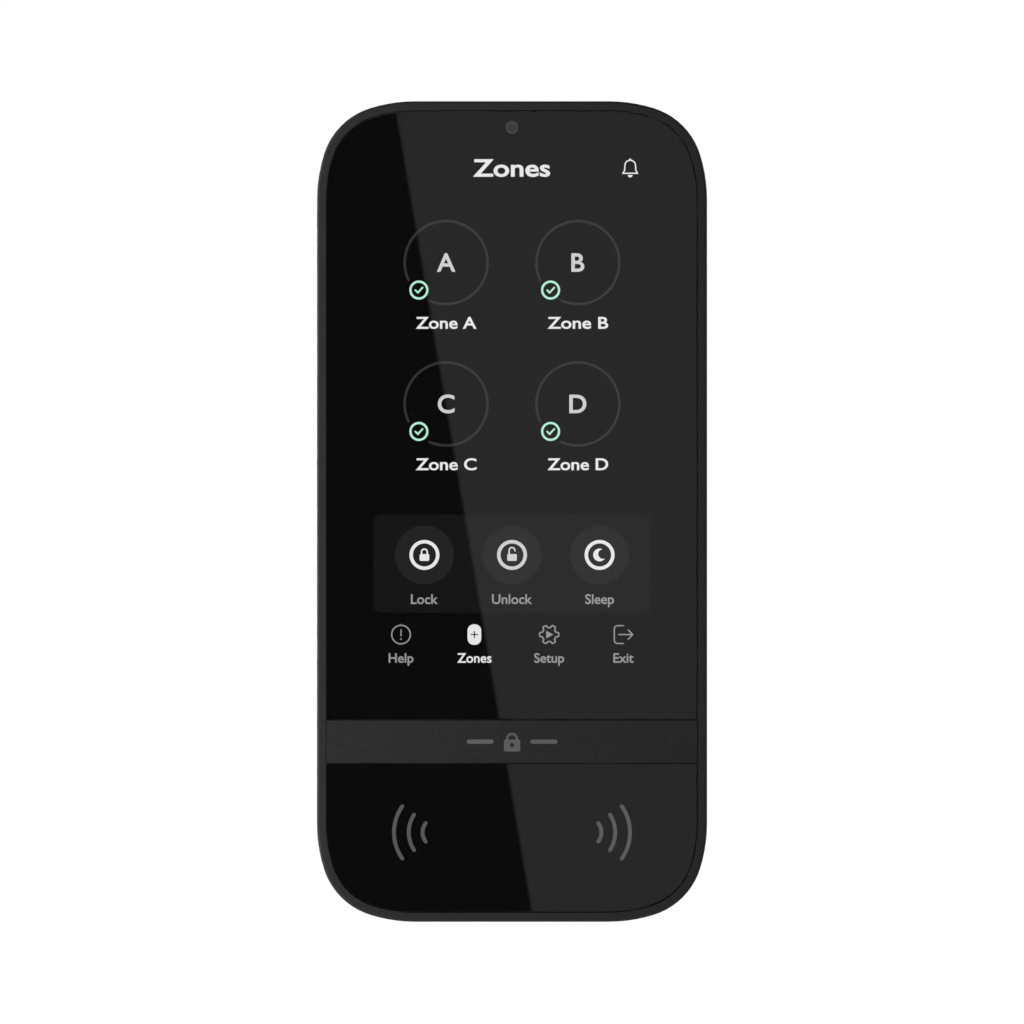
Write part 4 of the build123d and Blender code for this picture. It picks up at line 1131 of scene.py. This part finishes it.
def glowing(name):
    """An emission material of the studio, its graph, its shader and the place on it."""
    made = bpy.data.materials.new(name)
    made.use_nodes = True
    made.node_tree.nodes.clear()
    graph = Graph(made.node_tree)
    light = graph("ShaderNodeEmission")
    place = graph("ShaderNodeTexCoord").outputs["Object"]
    end = graph("ShaderNodeOutputMaterial")
    graph.feed(end.inputs["Surface"], light.outputs[0])
    return made, graph, light, place, end


def build_reflected_board():
    """A board behind the camera, dark to the left and bright to the right, that the glass shows."""
    made, graph, light, place, _ = glowing("reflected_board")
    top, bottom = on_board(EDGE_TOP), on_board(EDGE_BOTTOM)
    run = (bottom - top).normalized()
    side = Vector((-run.z, 0.0, run.x))
    if side.x < 0:
        side.negate()
    away = graph("ShaderNodeVectorMath", {0: place, 1: side}, operation="DOT_PRODUCT").outputs["Value"]
    start = top.dot(side)
    level = graph.spread(away, start - BOARD_BLUR, start + BOARD_BLUR, DARK_BOARD, BRIGHT_BOARD)
    graph.feed(light.inputs["Strength"], level)
    turns = ((-1, -1), (-1, 1), (1, 1), (1, -1))
    board = plane("reflected_board", [(x * BOARD_HALF, BOARD_Y, z * BOARD_HALF) for x, z in turns], made)
    board.visible_camera = False


def build_floor():
    """A pale floor under the front view, which fades into the white round it and is clear from below."""
    made, graph, light, place, end = glowing("pale_floor")
    matt = graph("ShaderNodeBsdfPrincipled", {"Roughness": 0.85, "Specular IOR Level": 0.2})
    graph.feed(matt.inputs["Emission Color"], colour(1.0, 1.0, 1.0))
    seen = graph("ShaderNodeLightPath").outputs["Is Camera Ray"]
    graph.feed(matt.inputs["Emission Strength"], graph.math("MULTIPLY", seen, 0.5))
    cloud = graph.noise(place, 30.0, 4.0)
    pale = graph.blend(cloud, colour(0.78, 0.78, 0.77), colour(0.82, 0.82, 0.81))
    graph.feed(matt.inputs["Base Color"], pale)
    where = graph("ShaderNodeSeparateXYZ", {0: place}).outputs
    wide = graph.spread(graph.math("ABSOLUTE", where["X"]), FADE_START, FADE_END)
    behind = graph.math("SUBTRACT", where["Y"], FLOOR_MIDDLE)
    deep = graph.spread(graph.math("ABSOLUTE", behind), FADE_START, FADE_END)
    fade = graph.math("MAXIMUM", wide, deep)
    mix = graph("ShaderNodeMixShader", {0: fade, 1: matt.outputs[0], 2: light.outputs[0]})
    under = graph("ShaderNodeNewGeometry").outputs["Backfacing"]
    clear = graph("ShaderNodeBsdfTransparent")
    whole = graph("ShaderNodeMixShader", {0: under, 1: mix.outputs[0], 2: clear.outputs[0]})
    graph.feed(end.inputs["Surface"], whole.outputs[0])
    low = CAD_BOX[0].z - FLOOR_DROP
    turns = ((-1, -1), (1, -1), (1, 1), (-1, 1))
    plane("floor", [(x * FLOOR_HALF, FLOOR_MIDDLE + y * FLOOR_HALF, low) for x, y in turns], made)


def area_light(name, place, target, wide, tall, power):
    """A soft rectangular light, which the camera doesn't see."""
    lamp = bpy.data.lights.new(name, "AREA")
    lamp.shape = "RECTANGLE"
    lamp.size, lamp.size_y = wide, tall
    lamp.energy = power
    thing = bpy.data.objects.new(name, lamp)
    thing.location = place
    aim = Vector(target) - Vector(place)
    thing.rotation_euler = aim.to_track_quat("-Z", "Y").to_euler()
    thing.visible_camera = False
    bpy.context.scene.collection.objects.link(thing)


build_camera()
build_world()
build_reflected_board()
build_floor()
for name, settings in STUDIO_LIGHTS.items():
    area_light(name, *settings)
